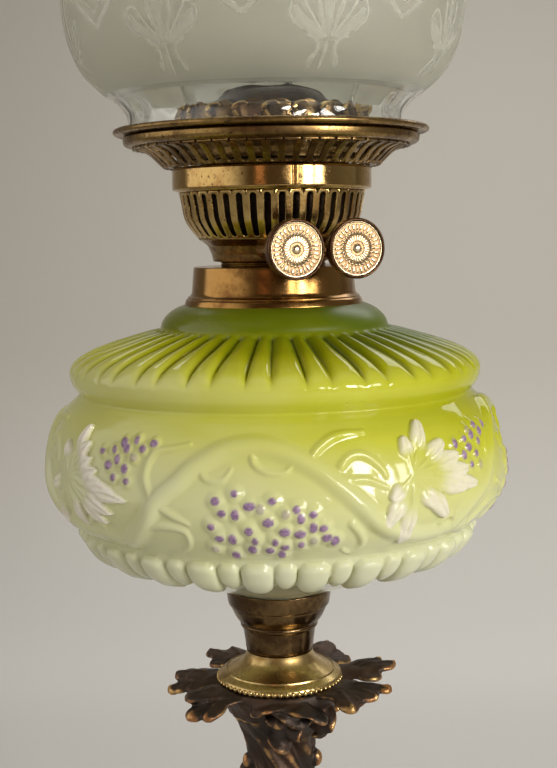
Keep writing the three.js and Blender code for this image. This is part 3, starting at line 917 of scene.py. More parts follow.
def obround(half, low_share, high_share, cap, rows=6, arc=7):
    """The rim of a slot with round ends. cap is the length of a round end, as a share of the line."""
    right = [(half, low_share + cap + (high_share - low_share - 2 * cap) * k / rows) for k in range(rows + 1)]
    turn = [math.pi * k / (arc + 1) for k in range(1, arc + 1)]
    top = [(half * math.cos(t), high_share - cap + cap * math.sin(t)) for t in turn]
    left = [(-x, y) for x, y in reversed(right)]
    bottom = [(-half * math.cos(t), low_share + cap - cap * math.sin(t)) for t in turn]
    return right + top + left + bottom


def thicken(obj, thickness):
    """Gives a sheet its thickness, inwards, and softens its cut edges."""
    solid = obj.modifiers.new("thickness", "SOLIDIFY")
    solid.thickness = thickness * MM
    solid.offset = -1
    edge = obj.modifiers.new("edges", "BEVEL")
    edge.width = 0.12 * MM
    edge.segments = 1
    edge.limit_method = "ANGLE"
    edge.angle_limit = math.radians(50)


def brass_burner():
    lift = low("burner_basket") - 419
    lower = rounded([
        (22.0, 419.0), (22.5, 421.6), (23.9, 424.8), (26.3, 426.6), (27.1, 426.9, 0.5), (27.3, 427.7, 0.5),
        (26.7, 428.2), (25.6, 427.8), (25.4, 427.2), (23.2, 425.4), (21.7, 422.0), (21.1, 419.0),
    ], 0.35)
    spin("burner_basket_foot", lower, lift, 192, "burner", "patina", "brass", "burner_basket")
    wall = spline([(26.6, 428), (29.1, 430.9), (31.35, 434.7), (32.2, 439.1), (33.1, 443.9)], 0.5)
    sheet = pierced(lifted(wall, lift), 42, -2.7, obround(0.235, 0.03, 0.955, 0.066, rows=10))
    obj = sheet.build("burner_basket_slotted", "burner", "brass", "brass", ["burner_basket"], weld=True)
    thicken(obj, 0.8)
    upper = rounded([
        (33.2, 443.8), (34.2, 444.0, 0.4), (34.7, 444.6, 0.4), (34.7, 451.4), (33.9, 451.4), (33.9, 444.8),
        (32.5, 444.6),
    ], 0.25)
    spin("burner_basket_rim", upper, lift, 192, "burner", "brass", "brass", "burner_basket")
    threads = [(19.1 + 0.25 * math.cos(TURN * k / 4), 405.6 + 13.5 * k / 54) for k in range(54)]
    neck = threads + [(20.6, 419.1), (20.6, 419.3), (17.7, 419.3), (17.7, 405.6)]
    spin("burner_neck_threaded", neck, low("burner_neck") - 405.5, 128, "burner", "brass", "brass", "burner_neck")


def gallery():
    def seam(radius, angle, height):
        gap = np.abs((angle - math.radians(12.2) + math.pi) % TURN - math.pi) * 36
        return radius - 0.8 * soft(gap, 0.9), angle, height

    band = rounded([
        (35.3, 444.6), (36.05, 444.6, 0.5), (36.35, 445.2, 0.5), (36.3, 452.0, 0.5), (35.7, 452.7, 0.5),
        (34.9, 452.7), (34.95, 445.4),
    ], 0.3)
    spin("gallery_band_seamed", resample(band, 0.5), low("gallery_band") - 444.6, 1440,
         "gallery", "polished_brass", "brass", "gallery_band", seam)

    flare_lift = low("gallery_flare") - 453
    under = spline([(38.6, 453.3), (40.8, 455.3), (44, 458.3), (47.4, 459.9), (50.2, 460.3)], 0.4)
    sheet = pierced(lifted(under, flare_lift), 52, 1.2, obround(0.26, 0.03, 0.93, 0.09, rows=8))
    obj = sheet.build("gallery_flare_pierced", "gallery", "patina", "brass", ["gallery_flare"], weld=True)
    thicken(obj, 0.8)
    collar = rounded([
        (35.0, 452.9), (36.4, 452.9, 0.3), (38.9, 453.3, 0.5), (38.4, 454.1), (36.2, 453.7), (35.0, 453.7),
    ], 0.25)
    spin("gallery_flare_foot", collar, flare_lift, 192, "gallery", "patina", "brass", "gallery_flare")
    rim = rounded([
        (49.9, 460.1), (52.4, 460.3, 0.9), (53.6, 461.3, 0.8), (53.75, 463.5, 0.3), (53.1, 463.8, 0.3),
        (52.9, 461.8, 0.8), (49.9, 461.0),
    ], 0.3)
    spin("gallery_flare_rim", rim, flare_lift, 256, "gallery", "patina", "brass", "gallery_flare")

    rolled = [(55.7 + 1.5 * math.cos(t), 465.45 + 1.15 * math.sin(t)) for t in np.linspace(-2.2, 3.2, 26)]
    plate = [
        (43.5, 461.8), (51.2, 461.9), (52.2, 462.3), (52.6, 463.4), (53.2, 464.1), *rolled, (53.1, 464.9),
        (52.0, 463.7), (51.2, 462.8), (43.5, 462.7),
    ]
    spin("shade_dish_rolled", plate, low("shade_dish") - 461.8, 320, "gallery", "patina", "brass", "shade_dish")


def chimney_crown():
    """A fretted ring that grips the chimney's foot: domed leaves, and a scroll in front of each gap."""
    floor = low("chimney_crown")
    prongs = 21
    ring = rounded([
        (29, 455), (34.7, 455), (34.3, 456.6), (33.6, 458.4), (33.3, 464.5), (32.7, 464.5), (32.9, 458.4),
        (33.6, 456), (29, 455.8),
    ], 0.25)
    spin("chimney_crown_ring", ring, floor - 454.2, 192, "gallery", "patina", "brass", "chimney_crown")
    first = math.radians(6)
    leafy, bars = Shape(), Shape()
    t, s = np.meshgrid(np.linspace(0, 1, 15), np.linspace(-1, 1, 11), indexing="ij")
    for k in range(prongs):
        turn = first + k * TURN / prongs
        wide = np.sqrt(np.clip(1 - (2 * np.clip(t, 0.44, 1) - 1) ** 2 * 0.97, 0, 1)) * 4.7
        height = floor + 8.6 + t * 12.6
        radius = 32.7 + 1.0 * (1 - s**2) * np.sin(np.pi * np.clip(t + 0.1, 0, 1)) + 0.5 * t**3
        leafy.add(around(radius, turn + s * wide / 33.6, height), grid_faces(15, 11))
    obj = leafy.build("chimney_crown_leaves", "gallery", "dark_brass", "brass", ["chimney_crown"])
    thicken(obj, 0.6)
    scroll = [(0.9, 0), (1.5, 3), (0.2, 5.6), (-0.8, 7.8), (0.6, 10), (3.1, 10.6), (4.2, 9.2)]
    offshoot = [(-0.8, 1), (-1.8, 3.6), (-3.3, 5.2), (-4.2, 4.2)]
    for k in range(prongs):
        turn = first + (k + 0.5) * TURN / prongs
        for path, wide in ((scroll, (1.2, 1.1, 0.6)), (offshoot, (1.0, 0.8, 0.5))):
            line = spline(path, 0.7)
            points = around(34.2, turn + line[:, 0] / 34, floor + 9 + line[:, 1])
            bars.add(*tube(points, np.interp(np.linspace(0, 1, len(line)), [0, 0.6, 1], wide), 8))
    bars.build("chimney_crown_scrolls", "gallery", "brass", "brass", ["chimney_crown"])


def air_diffuser():
    """A cup round the wick tubes, open where the two spindles pass, painted dark for soot and as the shade inside
    the burner.
    """
    top = high("air_diffuser") - 0.9
    side = spline([(23.6, top - 12.4), (26.8, top - 9), (28.4, top - 4), (29.0, top), (29.3, top + 2.6)], 0.6)
    angle = np.linspace(0, TURN, 240, endpoint=False)[:, None]
    points = around(side[None, :, 0], angle, side[None, :, 1]).reshape(-1, 3)
    faces = grid_faces(240, len(side), True, False)
    centre = points[faces].mean(1)
    clear = np.full(len(faces), True)
    for name in ("winder_right_turn", "winder_left_turn"):
        off = centre - np.array(joint(name)["pos_m"]) / MM
        clear &= np.linalg.norm(np.cross(off, joint(name)["axis"]), axis=1) > 2.6
    cup = Shape().add(points, faces[clear]).build(
        "air_diffuser_cup", "burner", "soot_and_shade_brass", "brass", weld=True)
    thicken(cup, 0.6)


def burner_cone():
    """The domed cap with a flame slot over each wick, and a low lip round each slot."""
    base = low("burner_cone") - 455.4
    heading = math.radians(22)
    slot_off, slot_half, slot_reach = 6.6, 3.1, 15.5
    profile = spline([
        (28.6, 455.4), (28.3, 462), (26.6, 469.4), (23, 476), (17, 481.2), (8.8, 484.3), (3, 484.9), (0.3, 485),
    ], 0.5)
    steps = 288
    radius, angle, height = revolution(profile, steps)
    points = around(radius, angle, base + height)
    across = points[..., 0] * math.sin(heading) - points[..., 1] * math.cos(heading)
    along = points[..., 0] * math.cos(heading) + points[..., 1] * math.sin(heading)
    gap = np.abs(np.abs(across) - slot_off)
    inside = (gap < slot_half) & (np.abs(along) < slot_reach)
    lip = 1.1 * soft(np.maximum(gap - slot_half, np.abs(along) - slot_reach), 2.2) * (~inside)
    points[..., 2] += lip
    faces = grid_faces(steps, len(profile), True, False)
    keep = ~inside.ravel()[faces].any(1)
    shape = Shape().add(points, faces[keep])
    # dark for soot, and painted shade under the chimney
    obj = shape.build("burner_cone_domed", "gallery", "soot_and_shade_brass", "brass", ["burner_cone"], weld=True)
    thicken(obj, 0.7)


# ---------------------------------------------------------------- winders

def along_axis(name):
    """A matrix that puts local Z on a joint's axis, with its origin on the joint."""
    j = joint(name)
    axis = Vector(j["axis"])
    return Matrix.Translation(Vector(j["pos_m"]) / MM) @ axis.to_track_quat("Z", "Y").to_matrix().to_4x4()


def winder(side):
    body = f"winder_{side}"
    place = along_axis(f"winder_{side}_turn")
    knob = rounded([
        (1.8, 41.5), (4.2, 41.5), (4.4, 42.2), (8.4, 42.5, 0.5), (9.2, 43.2, 0.4), (9.3, 44.2, 0.3),
        (9.9, 44.4, 0.4), (10.0, 45.6, 0.2), (9.75, 46.0, 0.2), (10.05, 46.4, 0.2), (10.25, 47.4, 0.3),
        (10.2, 48.6, 0.4), (9.6, 49.0, 0.4), (9.35, 48.7, 0.2), (9.2, 47.8), (0.3, 47.7), (0.3, 46.0),
        (1.8, 46.0),
    ], 0.25)
    turned(knob, 128).moved(place).build(
        f"winder_knob_{side}_turned", body, "knob_side", "dark_brass", [f"winder_knob_{side}"])

    def between(radius, inner, outer, soft_in=0.3, soft_out=0.3):
        return ease(radius, inner, inner + soft_in) * (1 - ease(radius, outer - soft_out, outer))

    def stripes(angle, count):
        return np.abs((angle * count / TURN) % 1 - 0.5) * 2

    def stamped(radius, angle, height):
        """Rays round a boss, a ring of beads, a ring of dashes and a thin rim."""
        rays = np.clip((stripes(angle, 28) - 0.25) / 0.4, 0, 1) * between(radius, 2.3, 4.7, 0.3, 0.4)
        dashes = np.clip((stripes(angle, 32) - 0.42) / 0.3, 0, 1) * between(radius, 6.3, 8.2)
        ring, beads = 5.5, 26
        off_bead = np.hypot(((angle * beads / TURN) % 1 - 0.5) * TURN * ring / beads, radius - ring)
        raised = np.maximum.reduce([
            0.28 * dashes, 0.34 * dome(off_bead, 0.48), 0.26 * rays, 0.75 * dome(radius, 1.5),
            0.2 * between(radius, 8.6, 9.15, 0.2, 0.15), 0.16 * soft(radius - 4.95, 0.25),
        ])
        return radius, angle, height + raised * (height > 48)

    rings = [(r, 48.25) for r in np.linspace(9.15, 0.02, 64)]
    face = np.array([(0.02, 47.9), (9.15, 47.9)] + rings)
    shape = turned(face, 336, stamped, press=lambda r, a, z: ease(z, 48.22, 48.45))
    shape.moved(place).build(
        f"knob_face_{side}_stamped", body, "knob_face", "pale_brass", [f"knob_face_{side}"])
    rod = rounded([(0.02, -15), (1.45, -15, 0.4), (1.5, 45.5), (0.02, 45.5)], 0.2)
    turned(rod, 32).moved(place).build(
        f"spindle_{side}_round", body, "steel", "brass", [f"spindle_{side}"])


# ---------------------------------------------------------------- glass

SHADE_SIDE = [
    (49.5, 463.4), (49.5, 470), (50.3, 472.6), (53.2, 475.8), (57.5, 478.7), (61.2, 481.8), (65.4, 486.2),
    (68.4, 492), (70.4, 498), (71.7, 505), (72.2, 512), (72.1, 519), (70.6, 530), (67, 543), (61.6, 557),
    (58.7, 568), (59.2, 580), (62.2, 591), (67.4, 601), (73.6, 609), (79.2, 615.4),
]
FROST_LINE = 478.4


def inset(side, wall):
    """The inner face of a glass wall, given its outer face."""
    along = directions(side)
    return side - wall * np.stack([along[:, 1], -along[:, 0]], -1)


def shade_centre():
    lo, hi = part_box("shade")
    return (lo.x + hi.x) / 2 / MM, (lo.y + hi.y) / 2 / MM


def shade_radius(height):
    side = spline(SHADE_SIDE, 0.6)
    return np.interp(height, side[:, 1], side[:, 0])


def shade():
    side = spline(SHADE_SIDE, 0.7)
    inner = inset(side, 2.1)
    lip = [(78.8, 616.2), (77.9, 616.3)]
    outline = np.vstack([side, lip, inner[::-1], [(48.0, 463.1), (49.0, 463.1)]])
    outline = lifted(outline, low("shade") - 463.1)

    def crimped(radius, angle, height):
        share = ease(height, 572, 616)
        ripple = 0.36 * np.sin(angle * 20 + 1) * (1 - ease(height, 476, 482)) * ease(height, 466, 472)
        return radius + share * 2.3 * np.cos(8 * (angle - math.pi / 2)) + ripple, angle, height

    x, y = shade_centre()
    turned(outline, 384, crimped, frost=lambda r, a, z: ease(z, FROST_LINE - 0.4, FROST_LINE + 0.4)).moved(
        Matrix.Translation((x, y, 0))).build(
        "shade_etched", "shade", "etched_glass", "etched_glass", ["shade"], sharp=70)


def chimney():
    side = spline([
        (31.5, 455.3), (31.5, 462), (31.1, 472), (33.2, 484), (36, 497), (37.5, 511), (36, 527), (33, 542),
        (29.6, 560), (27, 580), (25.8, 600), (25.1, 640), (24.6, 690), (24.5, 707.4),
    ], 1.2)
    inner = inset(side, 1.5)
    outline = np.vstack([side, [(24.0, 708), (23.4, 708)], inner[::-1]])
    turned(lifted(outline, low("chimney") - 455.3), 192).build(
        "chimney_clear", "chimney", "clear_glass", "clear_glass", ["chimney"], sharp=70)


def ribbon(shape, line, widths):
    """A narrow filled band on the shade's outside. line is (degrees, height), widths are in mm."""
    line = np.array(line, float)
    x, y = shade_centre()
    mid = np.stack([np.radians(line[:, 0]) * shade_radius(line[:, 1]), line[:, 1]], -1)
    along = directions(mid)
    across = np.stack([-along[:, 1], along[:, 0]], -1)
    half = np.broadcast_to(widths, len(line))[:, None] / 2
    rows, fill = [], []
    for side in np.linspace(-1, 1, 7):
        place = mid + across * half * side
        radius = shade_radius(place[:, 1]) + 0.14 * (1 - 0.9 * side * side) + 0.02
        rows.append(around(radius, place[:, 0] / shade_radius(line[:, 1]), place[:, 1]) + (x, y, 0))
        fill.append(np.full(len(line), 1 - side * side))
    shape.add(np.stack(rows), grid_faces(len(rows), len(line)), fill=np.stack(fill))


def etched_motifs():
    """A fleur and a pendant point take turns, eight of each, round the frosted bowl."""
    shape = Shape()
    for k in range(8):
        fleur, point = 45 * k - 27.5, 45 * k - 5.5

        def curve(line, side=1, at=fleur):
            return spline([(at + side * a, z) for a, z in line], 0.7)

        def petal(line, width):
            share = np.linspace(0, 1, len(line))
            ribbon(shape, line, width * np.sqrt(np.clip(np.sin(np.pi * (0.06 + 0.9 * share)), 0.02, 1)))

        petal(curve([(0, 489.5), (-0.3, 497), (0, 505), (0.2, 513)]), 4.4)
        petal(curve([(0, 488.5), (-0.4, 484.5), (-0.8, 480)]), 2.0)
        for s in (-1, 1):
            petal(curve([(0.9, 490), (2.6, 497), (3.6, 504), (2.4, 510.5)], s), 2.6)
            petal(curve([(1.2, 489.4), (4.4, 492), (7.8, 495), (9.4, 498.6)], s), 5.0)
            ribbon(shape, curve([
                (1.6, 490.6), (5.2, 496.4), (7.6, 500.6), (10, 500), (10.4, 495.4), (7.2, 491.8),
            ], s), 1.3)
            ribbon(shape, curve([(6.0, 490.2), (3.8, 489.4), (2.4, 487), (3.2, 483.8)], s), 1.7)
            petal(curve([(3.2, 484.9), (3.9, 482.9), (4.2, 481.4)], s), 3.2)
        for up, width in ((0, 2.4), (4.4, 1.0)):
            for s in (-1, 1):
                line = [(12, 509 + up), (8.6, 505.4 + up), (4.4, 501 + up), (0, 496.9 + up)]
                ribbon(shape, curve(line, s, point), width)
        petal(curve([(0, 519), (0, 514), (0, 510)], 1, point), 3.0)
    shape.build("shade_motifs", "shade", "etched_motif", "etched_glass", ["shade"], sharp=80)


# ---------------------------------------------------------------- spun and turned metal

def stand_top():
    cup = rounded([
        (4.4, 272.2), (12.4, 272.2, 0.3), (12.75, 273.4, 0.4), (13.3, 277.5), (13.8, 281.2, 0.3),
        (14.6, 281.6, 0.4), (14.75, 282.5, 0.4), (14.5, 283.1, 0.3), (15.6, 284.2, 0.6), (16.8, 286, 0.8),
        (18.1, 289, 0.6), (18.3, 289.9, 0.3), (19.0, 290.1, 0.4), (19.3, 291.2, 0.5), (19.7, 294, 0.6),
        (19.9, 296.4, 0.3), (18.9, 296.4, 0.25), (18.2, 291.5), (13.4, 281.2), (4.4, 281),
    ], 0.3)
    spin("font_undermount_turned", cup, low("font_undermount") - 272.3, 192,
         "font", "dark_brass", "dark_brass", "font_undermount")

    cap = chain(
        spline([(12.5, 272.0), (12.8, 270.6), (13.9, 268.7), (15.8, 267.1), (17.9, 265.9), (20.2, 264.9)], 0.3),
        [(20.35, 265.15), (20.75, 265.0), (20.9, 264.5)],
        spline([(20.9, 264.5), (22.4, 263.6), (23.3, 262.9), (23.6, 262.0)], 0.3),
        [(23.2, 261.0), (22.4, 260.8), (20.6, 263.6), (14.2, 267.3), (11.4, 270.4), (4.7, 270.6), (4.7, 272.0)],
    )
    spin("vase_cap_spun", cap, low("vase_cap") - 260.7, 192, "stand", "pale_brass", "pale_brass", "vase_cap")
    beads = Shape()
    for k in range(64):
        beads.add(*ball(around(23.3, TURN * k / 64, low("vase_cap") + 1.0), 0.98, (1, 1, 1.05), 8, 10))
    beads.build("vase_cap_beads", "stand", "pale_brass", "pale_brass", ["vase_cap"])

    collar = rounded([
        (32.6, 402.8, 0.3), (32.9, 403.3, 0.4), (32.3, 405.2, 0.5), (31.6, 405.7, 0.3), (31.7, 406.1, 0.2),
        (30.6, 406.7, 0.6), (30.1, 407.8, 0.6), (29.35, 416.2, 0.3), (29.2, 417.0, 0.5), (28.6, 417.1, 0.3),
        (19.4, 417.1, 0.3), (19.4, 405.3), (20.5, 405.3), (20.6, 415.7), (28.4, 415.7), (29.2, 406.8),
        (31.6, 404.6), (32.2, 402.8),
    ], 0.3)
    lift = low("font_collar") - 403.2
    spin("font_collar_spun", resample(collar, 1.0), lift, 256,
         "font", "copper_brass", "copper_brass", "font_collar")

    def ragged(radius, angle, height):
        wave = sum(math.sin(0.7 * f) * np.sin(f * angle + f * f) for f in (5, 11, 19, 31, 47, 73))
        return radius, angle, height - 0.2 * (1 + 0.5 * wave) * (height < 402.7)

    seam = rounded([(31.4, 402.5), (32.9, 402.4), (32.7, 403.1), (31.4, 403.4)], 0.2)
    spin("font_collar_seam", seam, lift, 720, "font", "old_plaster", "copper_brass", "font_collar", ragged)


# ---------------------------------------------------------------- the cast bronze

def swept(line, widths, thicks, up=(0, 0, 1)):
    """A flattened rod along 3-D points with round ends. Widths lie level and thicks lie along up."""
    sides = 14
    line = np.array(line, float)
    along = directions(line)
    side = np.cross(along, up)
    side /= np.maximum(np.linalg.norm(side, axis=1), 1e-6)[:, None]
    other = np.cross(side, along)
    turn = np.linspace(0, TURN, sides, endpoint=False)[:, None, None]
    half_w = np.broadcast_to(widths, len(line))[:, None] / 2
    half_t = np.broadcast_to(thicks, len(line))[:, None] / 2
    skin = line + side * half_w * np.cos(turn) + other * half_t * np.sin(turn)
    return skin.reshape(-1, 3), rod_faces(sides, len(line))


def capped(line, width, thick):
    """Spline points with widths that round off at the far end, for swept()."""
    line = spline(line, 1.0)
    length = np.concatenate([[0], np.cumsum(np.linalg.norm(np.diff(line, axis=0), axis=1))])
    left = length[-1] - length
    w = np.interp(length / length[-1], np.linspace(0, 1, len(width)), width)
    t = np.interp(length / length[-1], np.linspace(0, 1, len(thick)), thick)
    end = np.sqrt(np.clip(1 - np.clip(1 - left / (w / 2), 0, 1) ** 2, 0.015, 1))
    return line, w * end, t * np.sqrt(end)


def cast(shape, name, voxel, node, smooth, broad=6, worn_from=None):
    """Fuses overlapping forms into one casting, smooths it, and marks its rubbed high spots.
    broad is how far a high spot reaches, and beyond the radius worn_from all is rubbed more."""
    obj = in_scene(name, shape.mesh(name))
    remesh = obj.modifiers.new("fuse", "REMESH")
    remesh.mode = "VOXEL"
    remesh.voxel_size = voxel * MM
    smoothing = obj.modifiers.new("smooth", "SMOOTH")
    smoothing.factor = 0.5
    smoothing.iterations = smooth
    bpy.context.view_layer.update()
    done = bpy.data.meshes.new_from_object(obj.evaluated_get(bpy.context.evaluated_depsgraph_get()))
    obj.modifiers.clear()
    obj.data = done
    done.name = name
    n = len(done.vertices)

    def read(key):
        values = np.empty(n * 3, np.float32)
        done.vertices.foreach_get(key, values)
        return values.reshape(-1, 3).astype(float)

    place, normal = read("co"), read("normal")
    x, y, z = (place / MM).T
    wavy = np.sin(0.6 * x + 0.4 * z) * np.sin(0.5 * y + 1) + 0.4 * np.sin(1.1 * x - 0.8 * y + 0.6 * z)
    place = place + normal * (0.22 * MM * wavy)[:, None]
    done.vertices.foreach_set("co", place.astype(np.float32).ravel())
    edges = np.empty(len(done.edges) * 2, np.int32)
    done.edges.foreach_get("vertices", edges)
    edges = edges.reshape(-1, 2)
    count = np.bincount(edges.ravel(), minlength=n)[:, None]

    def spread(values, times):
        for _ in range(times):
            total = np.zeros_like(values)
            np.add.at(total, edges[:, 0], values[edges[:, 1]])
            np.add.at(total, edges[:, 1], values[edges[:, 0]])
            values = total / np.maximum(count, 1)
        return values

    proud = np.einsum("ij,ij->i", place - spread(place, broad), normal) / (voxel * MM)
    proud = spread(proud[:, None], 3)[:, 0] * 9 / (0.6 * broad + 5)
    rub = np.clip((proud - 0.03) / 0.55, 0, 1)
    if worn_from:
        rub = rub * 0.8 + 0.34 * ease(np.hypot(x, y), worn_from, worn_from + 8)
    mask = done.attributes.new("rub", "FLOAT", "POINT")
    mask.data.foreach_set("value", np.clip(rub, 0, 1).astype(np.float32))
    done.shade_smooth()
    dress(obj, "stand", "bronze", [node])


LEAVES = [
    # the azimuth and width of a leaf's root, then its fingers: (radius, azimuth, height, width)
    (-58, 21, [(42.6, -53, 253.8, 8.5), (39.6, -44, 254.6, 8), (39.4, -64, 258.2, 10)]),
    (-97, 19, [(43.2, -91, 255.3, 8.5), (42, -104, 258.2, 10), (36, -84, 256.8, 8)]),
    (-138, 15, [(43, -138, 260, 8), (37, -148, 261, 8), (35, -128, 258.8, 8)]),
    (147, 19, [(42.2, 144, 257.6, 9), (42.6, 152, 261, 9), (39, 134, 257.4, 8)]),
    (92, 17, [(44.4, 91, 264.2, 8.5), (39, 82, 261.4, 8.5), (40, 100, 263.6, 8)]),
    (58, 21, [(45, 66, 261, 5.6), (42.4, 57, 259.4, 8), (41.5, 39, 258.4, 7.5), (39, 48, 258.4, 10)]),
    (181, 17, [(42, 179, 260, 9), (38.5, 190, 261, 8), (38, 169, 260, 8)]),
    (6, 27, [(27, -3, 250.2, 12), (31, 33, 251.8, 10), (25.5, -25, 254, 10), (29.5, 15, 250.6, 12)]),
]

# Tongues of leaf that hang over the top of the trunk, as (azimuth, length, width)
TONGUES = [(5, 12, 14), (44, 9, 11), (118, 9, 11), (172, 11, 13), (232, 9, 12)]


def leaf(shape, root, width, fingers):
    """One cast leaf: round-ended fingers that share a broad root, with a rib along each."""
    for radius, azimuth, height, wide in fingers:
        r = np.array([13, 0.5 * (17 + radius), 0.22 * 17 + 0.78 * radius, radius])
        turn = np.radians(root + (azimuth - root) * np.array([0, 0.5, 0.84, 1]))
        level = np.array([258.6, 0.5 * (260 + height) + 0.9, 0.2 * 260 + 0.8 * height + 0.6, height])
        line = around(r, turn, level)
        shape.add(*swept(*capped(line, [0.78 * width, 0.8 * width, 1.3 * wide, wide], [4, 3, 2.7, 3.6])))
        rib = line[1:] + (0, 0, 1.4)
        shape.add(*swept(*capped(rib, [2.0, 1.8, 1.5], [1.4, 1.4, 1.6])))


def leaf_crown():
    hub = [(5.2, 247.5), (17, 247.5), (20.2, 249), (21.5, 252.6), (24.5, 257.2), (24, 260.3), (5.2, 260.3)]
    shape = turned(rounded(hub, 0.8), 96)
    for root, width, fingers in LEAVES:
        leaf(shape, root, width, fingers)
    for azimuth, length, width in TONGUES:
        turn = np.radians([azimuth, azimuth + 2, azimuth - 2, azimuth])
        level = np.array([255, 251.5, 251 - 0.5 * length, 251 - length])
        line = around(np.array([18, 21.6, 21.8, 20.8]), turn, level)
        shape.add(*swept(*capped(line, [10, width, width, 0.6 * width], [5, 3.4, 3.0, 3.6]), up=(0, -0.3, 1)))
    cast(shape, "leaf_crown_cast", 0.5, "leaf_crown", smooth=5, worn_from=36)


def trunk():
    """The upright: one twisted stem with deep folds, spread at its top and rooted at its foot."""
    z0, z1 = low("trunk_casting"), high("trunk_casting") + 2.4
    heights = np.linspace(z0, z1, 190)
    radius = np.interp(
        heights, [40, 48, 60, 80, 105, 135, 165, 195, 220, 232, 239, 243, 246, 248, 250],
        [32, 27, 21, 16.5, 14.4, 13.4, 12.6, 11.8, 11.2, 11.5, 13, 15.4, 17.8, 19.4, 20])
    core = np.vstack([np.stack([radius, heights], -1), [(17, z1 + 0.3), (5.2, z1 + 0.3), (5.2, z0)]])

    def folded(radius, angle, height):
        twist = angle + 0.043 * height + 0.3 * np.sin(height / 17)
        fold = np.abs(np.cos(2.5 * twist + 0.5 * np.sin(height / 23))) ** 0.5
        fine = np.abs(np.cos(6.5 * twist + 0.8 * np.sin(2 * angle + height / 11)))
        deep = 3.6 * np.clip(radius / 12, 0.8, 1.5) * (radius > 6) * (1 - 0.85 * ease(height, 238, 247.5))
        return radius + deep * (fold - 0.66) + 0.36 * deep * (fine - 0.5), angle, height

    shape = turned(core, 300, folded)
    for azimuth, height, size in (
        (-80, 224.5, 3.0), (-70, 229.5, 2.4), (74, 230, 2.6), (150, 190, 4.4), (-140, 140, 5), (30, 118, 4.6),
        (-60, 96, 4.4), (100, 158, 4.2), (-84, 180, 4), (175, 225, 3.4),
    ):
        r = np.interp(height, heights, radius) + 2.2
        shape.add(*ball(around(r, math.radians(azimuth), height), size, (1, 1, 1.3), 10, 14))
    cast(shape, "trunk_cast", 0.55, "trunk_casting", smooth=2, broad=14)


def foot():
    """The spread foot: a moulded rim, and roots that run out from the trunk."""
    z0 = low("foot_casting")
    outline = chain(
        [(71, z0), (77.7, z0)],
        spline([
            (77.7, z0), (77.8, 4.4), (76.6, 6.6), (74.4, 7.6), (73.4, 8.6), (74.6, 10.2), (74.4, 12), (71, 14.4),
            (64, 18.2), (56, 21.8), (48, 25.4), (41, 30.4), (36.4, 35.4), (34, 39.6),
        ], 1.2),
        [(8.4, 39.6), (8.4, 37), (30, 33), (42, 24), (67, 13), (71, z0)],
    )[:-1]
    shape = turned(outline, 160)
    for k in range(9):
        rng = random.Random(70 + k)
        a = TURN * k / 9 + rng.uniform(-0.1, 0.1)
        r = np.linspace(30, 66, 18)
        height = np.interp(r, [30, 34, 41, 48, 56, 64, 71], [41, 38.8, 30.4, 25.4, 21.8, 18.2, 14.6])
        angle = a + 0.22 * np.sin((r - 30) / 12 + k) + 0.012 * (r - 30)
        width = np.interp(r, [30, 45, 66], [9, 7.5, 2.6])
        shape.add(*swept(around(r, angle, height), width, width * 0.8))
    for k in range(64):
        shape.add(*ball(around(73.6, TURN * k / 64, 11.2), 1.6, (1, 1, 0.9), 6, 8))
    cast(shape, "foot_cast", 0.9, "foot_casting", smooth=4)


# ---------------------------------------------------------------- floor, light and camera

def stage():
    n = Nodes("studio_paper")
    # painted shade: the paper is darker where it rises into the wall than on the floor
    paper_colour = n.mix(n.mask("rise"), srgb(195, 193, 187), srgb(174, 170, 160))
    n.set(Base_Color=paper_colour, Roughness=0.95)
    # the paper is seen from its lit side only, so that the lamp can be looked at from behind it
    lit_side = n.add("ShaderNodeMixShader")
    n.feed(lit_side.inputs[0], n.add("ShaderNodeNewGeometry").outputs["Backfacing"])
    n.feed(lit_side.inputs[1], n.shader.outputs[0])
    n.feed(lit_side.inputs[2], n.add("ShaderNodeBsdfTransparent").outputs[0])
    n.feed(n.tree.nodes["Material Output"].inputs["Surface"], lit_side.outputs[0])
    sweep = spline([(-1.6, 0), (0.3, 0.0), (0.7, 0.08), (1.0, 0.3), (1.2, 0.7), (1.28, 1.2), (1.3, 2.6)], 0.03)
    sides = np.array([-3.0, 3.0])
    points = np.stack(np.broadcast_arrays(sides[:, None], sweep[None, :, 0], sweep[None, :, 1]), -1) / MM
    rise = np.broadcast_to(ease(sweep[:, 1], 0.02, 0.34), points.shape[:2])
    mesh = Shape().add(points, grid_faces(2, len(sweep)), rise=rise).mesh("studio_paper")
    mesh.shade_smooth()
    mesh.materials.append(n.material)
    in_scene("studio_paper", mesh)


def area_light(name, azimuth, elevation, distance, size, power, colour, aim=(0, 0, 0.4)):
    """A panel that the camera doesn't see, placed in degrees and metres from the point it aims at."""
    light = bpy.data.lights.new(name, "AREA")
    light.shape = "RECTANGLE"
    light.size, light.size_y = size
    light.energy = power
    light.color = colour
    obj = in_scene(name, light)
    obj.visible_camera = False
    a, e = math.radians(azimuth), math.radians(elevation)
    aim = Vector(aim)
    place = aim + distance * Vector((math.sin(a) * math.cos(e), -math.cos(a) * math.cos(e), math.sin(e)))
    obj.matrix_world = Matrix.Translation(place) @ (place - aim).to_track_quat("Z", "Y").to_matrix().to_4x4()


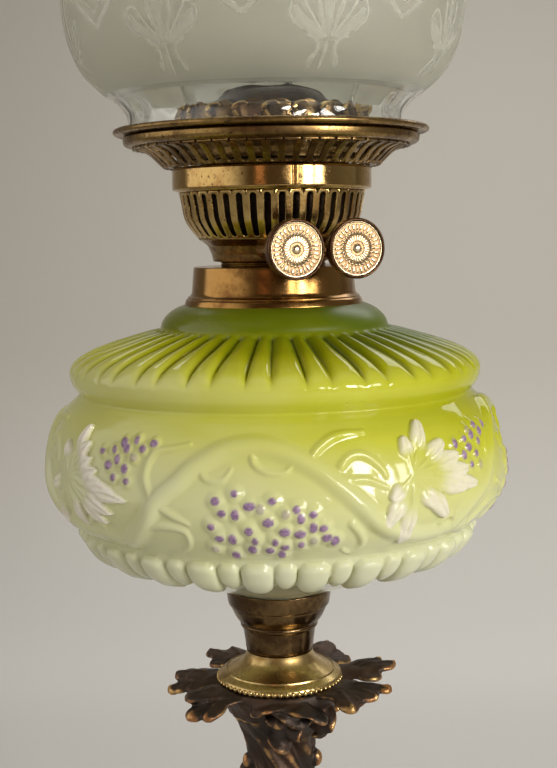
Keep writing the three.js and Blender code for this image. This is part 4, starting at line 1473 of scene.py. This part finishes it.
def lighting():
    area_light("window_near", 41, 10, 1.6, (0.24, 0.54), 12, (1.0, 0.98, 0.95))
    area_light("window_far", 54, 10, 1.6, (0.24, 0.54), 6, (1.0, 0.98, 0.95))
    area_light("window_gap", 25, 10, 1.7, (0.12, 0.46), 3.5, (1.0, 0.97, 0.94))
    area_light("room_warm", -13, 6, 1.6, (0.26, 0.7), 0.3, (1.0, 0.5, 0.32))
    area_light("ceiling", 0, 88, 1.9, (1.8, 1.8), 4, (1.0, 0.97, 0.93))
    area_light("paper_glow", 30, 70, 0.8, (0.9, 0.6), 3.5, (0.98, 0.98, 1.0), aim=(0.05, 0.75, 0.1))
    world = bpy.data.worlds.new("room")
    bpy.context.scene.world = world
    world.use_nodes = True
    tree = world.node_tree
    place = tree.nodes.new("ShaderNodeTexCoord")
    split = tree.nodes.new("ShaderNodeSeparateXYZ")
    tree.links.new(place.outputs["Generated"], split.inputs[0])
    both = tree.nodes.new("ShaderNodeAddShader")
    tree.links.new(both.outputs[0], tree.nodes["World Output"].inputs["Surface"])
    # the room is dim in front and paler behind, and a pale wall lies to the left
    for k, (axis, low_end, high_end, near, far, strength) in enumerate((
        ("Y", 0.1, 0.75, (0.21, 0.155, 0.11), (0.48, 0.46, 0.42), 0.45),
        ("X", 0.05, 0.30, (1.0, 0.97, 0.93), (0, 0, 0), 1.08),
    )):
        back = tree.nodes["Background"] if k == 0 else tree.nodes.new("ShaderNodeBackground")
        ramp = tree.nodes.new("ShaderNodeValToRGB")
        ramp.color_ramp.interpolation = "EASE"
        for element, position, colour in zip(ramp.color_ramp.elements, (low_end, high_end), (near, far)):
            element.position = position
            element.color = (*colour, 1)
        shifted = tree.nodes.new("ShaderNodeMath")
        shifted.operation = "MULTIPLY_ADD"
        shifted.inputs[1].default_value = 0.5
        shifted.inputs[2].default_value = 0.5
        tree.links.new(split.outputs[axis], shifted.inputs[0])
        tree.links.new(shifted.outputs[0], ramp.inputs[0])
        tree.links.new(ramp.outputs[0], back.inputs["Color"])
        back.inputs["Strength"].default_value = strength
        tree.links.new(back.outputs[0], both.inputs[k])


def camera():
    data = bpy.data.cameras.new("camera")
    data.lens = 60.94
    data.sensor_width = 36
    obj = in_scene("camera", data)
    obj.matrix_world = (
        Matrix.Translation((0, -0.480, 0.430))
        @ Matrix.Rotation(math.radians(-0.145), 4, "Z")
        @ Matrix.Rotation(math.radians(83.25), 4, "X")
        @ Matrix.Rotation(math.radians(-0.95), 4, "Z")
    )
    bpy.context.scene.camera = obj


# ---------------------------------------------------------------- the lamp

finish_cad_nodes()
font_glass()
brass_burner()
gallery()
chimney_crown()
air_diffuser()
burner_cone()
winder("right")
winder("left")
shade()
etched_motifs()
chimney()
stand_top()
leaf_crown()
trunk()
foot()
stage()
lighting()
camera()
bpy.context.scene.view_settings.view_transform = "Standard"
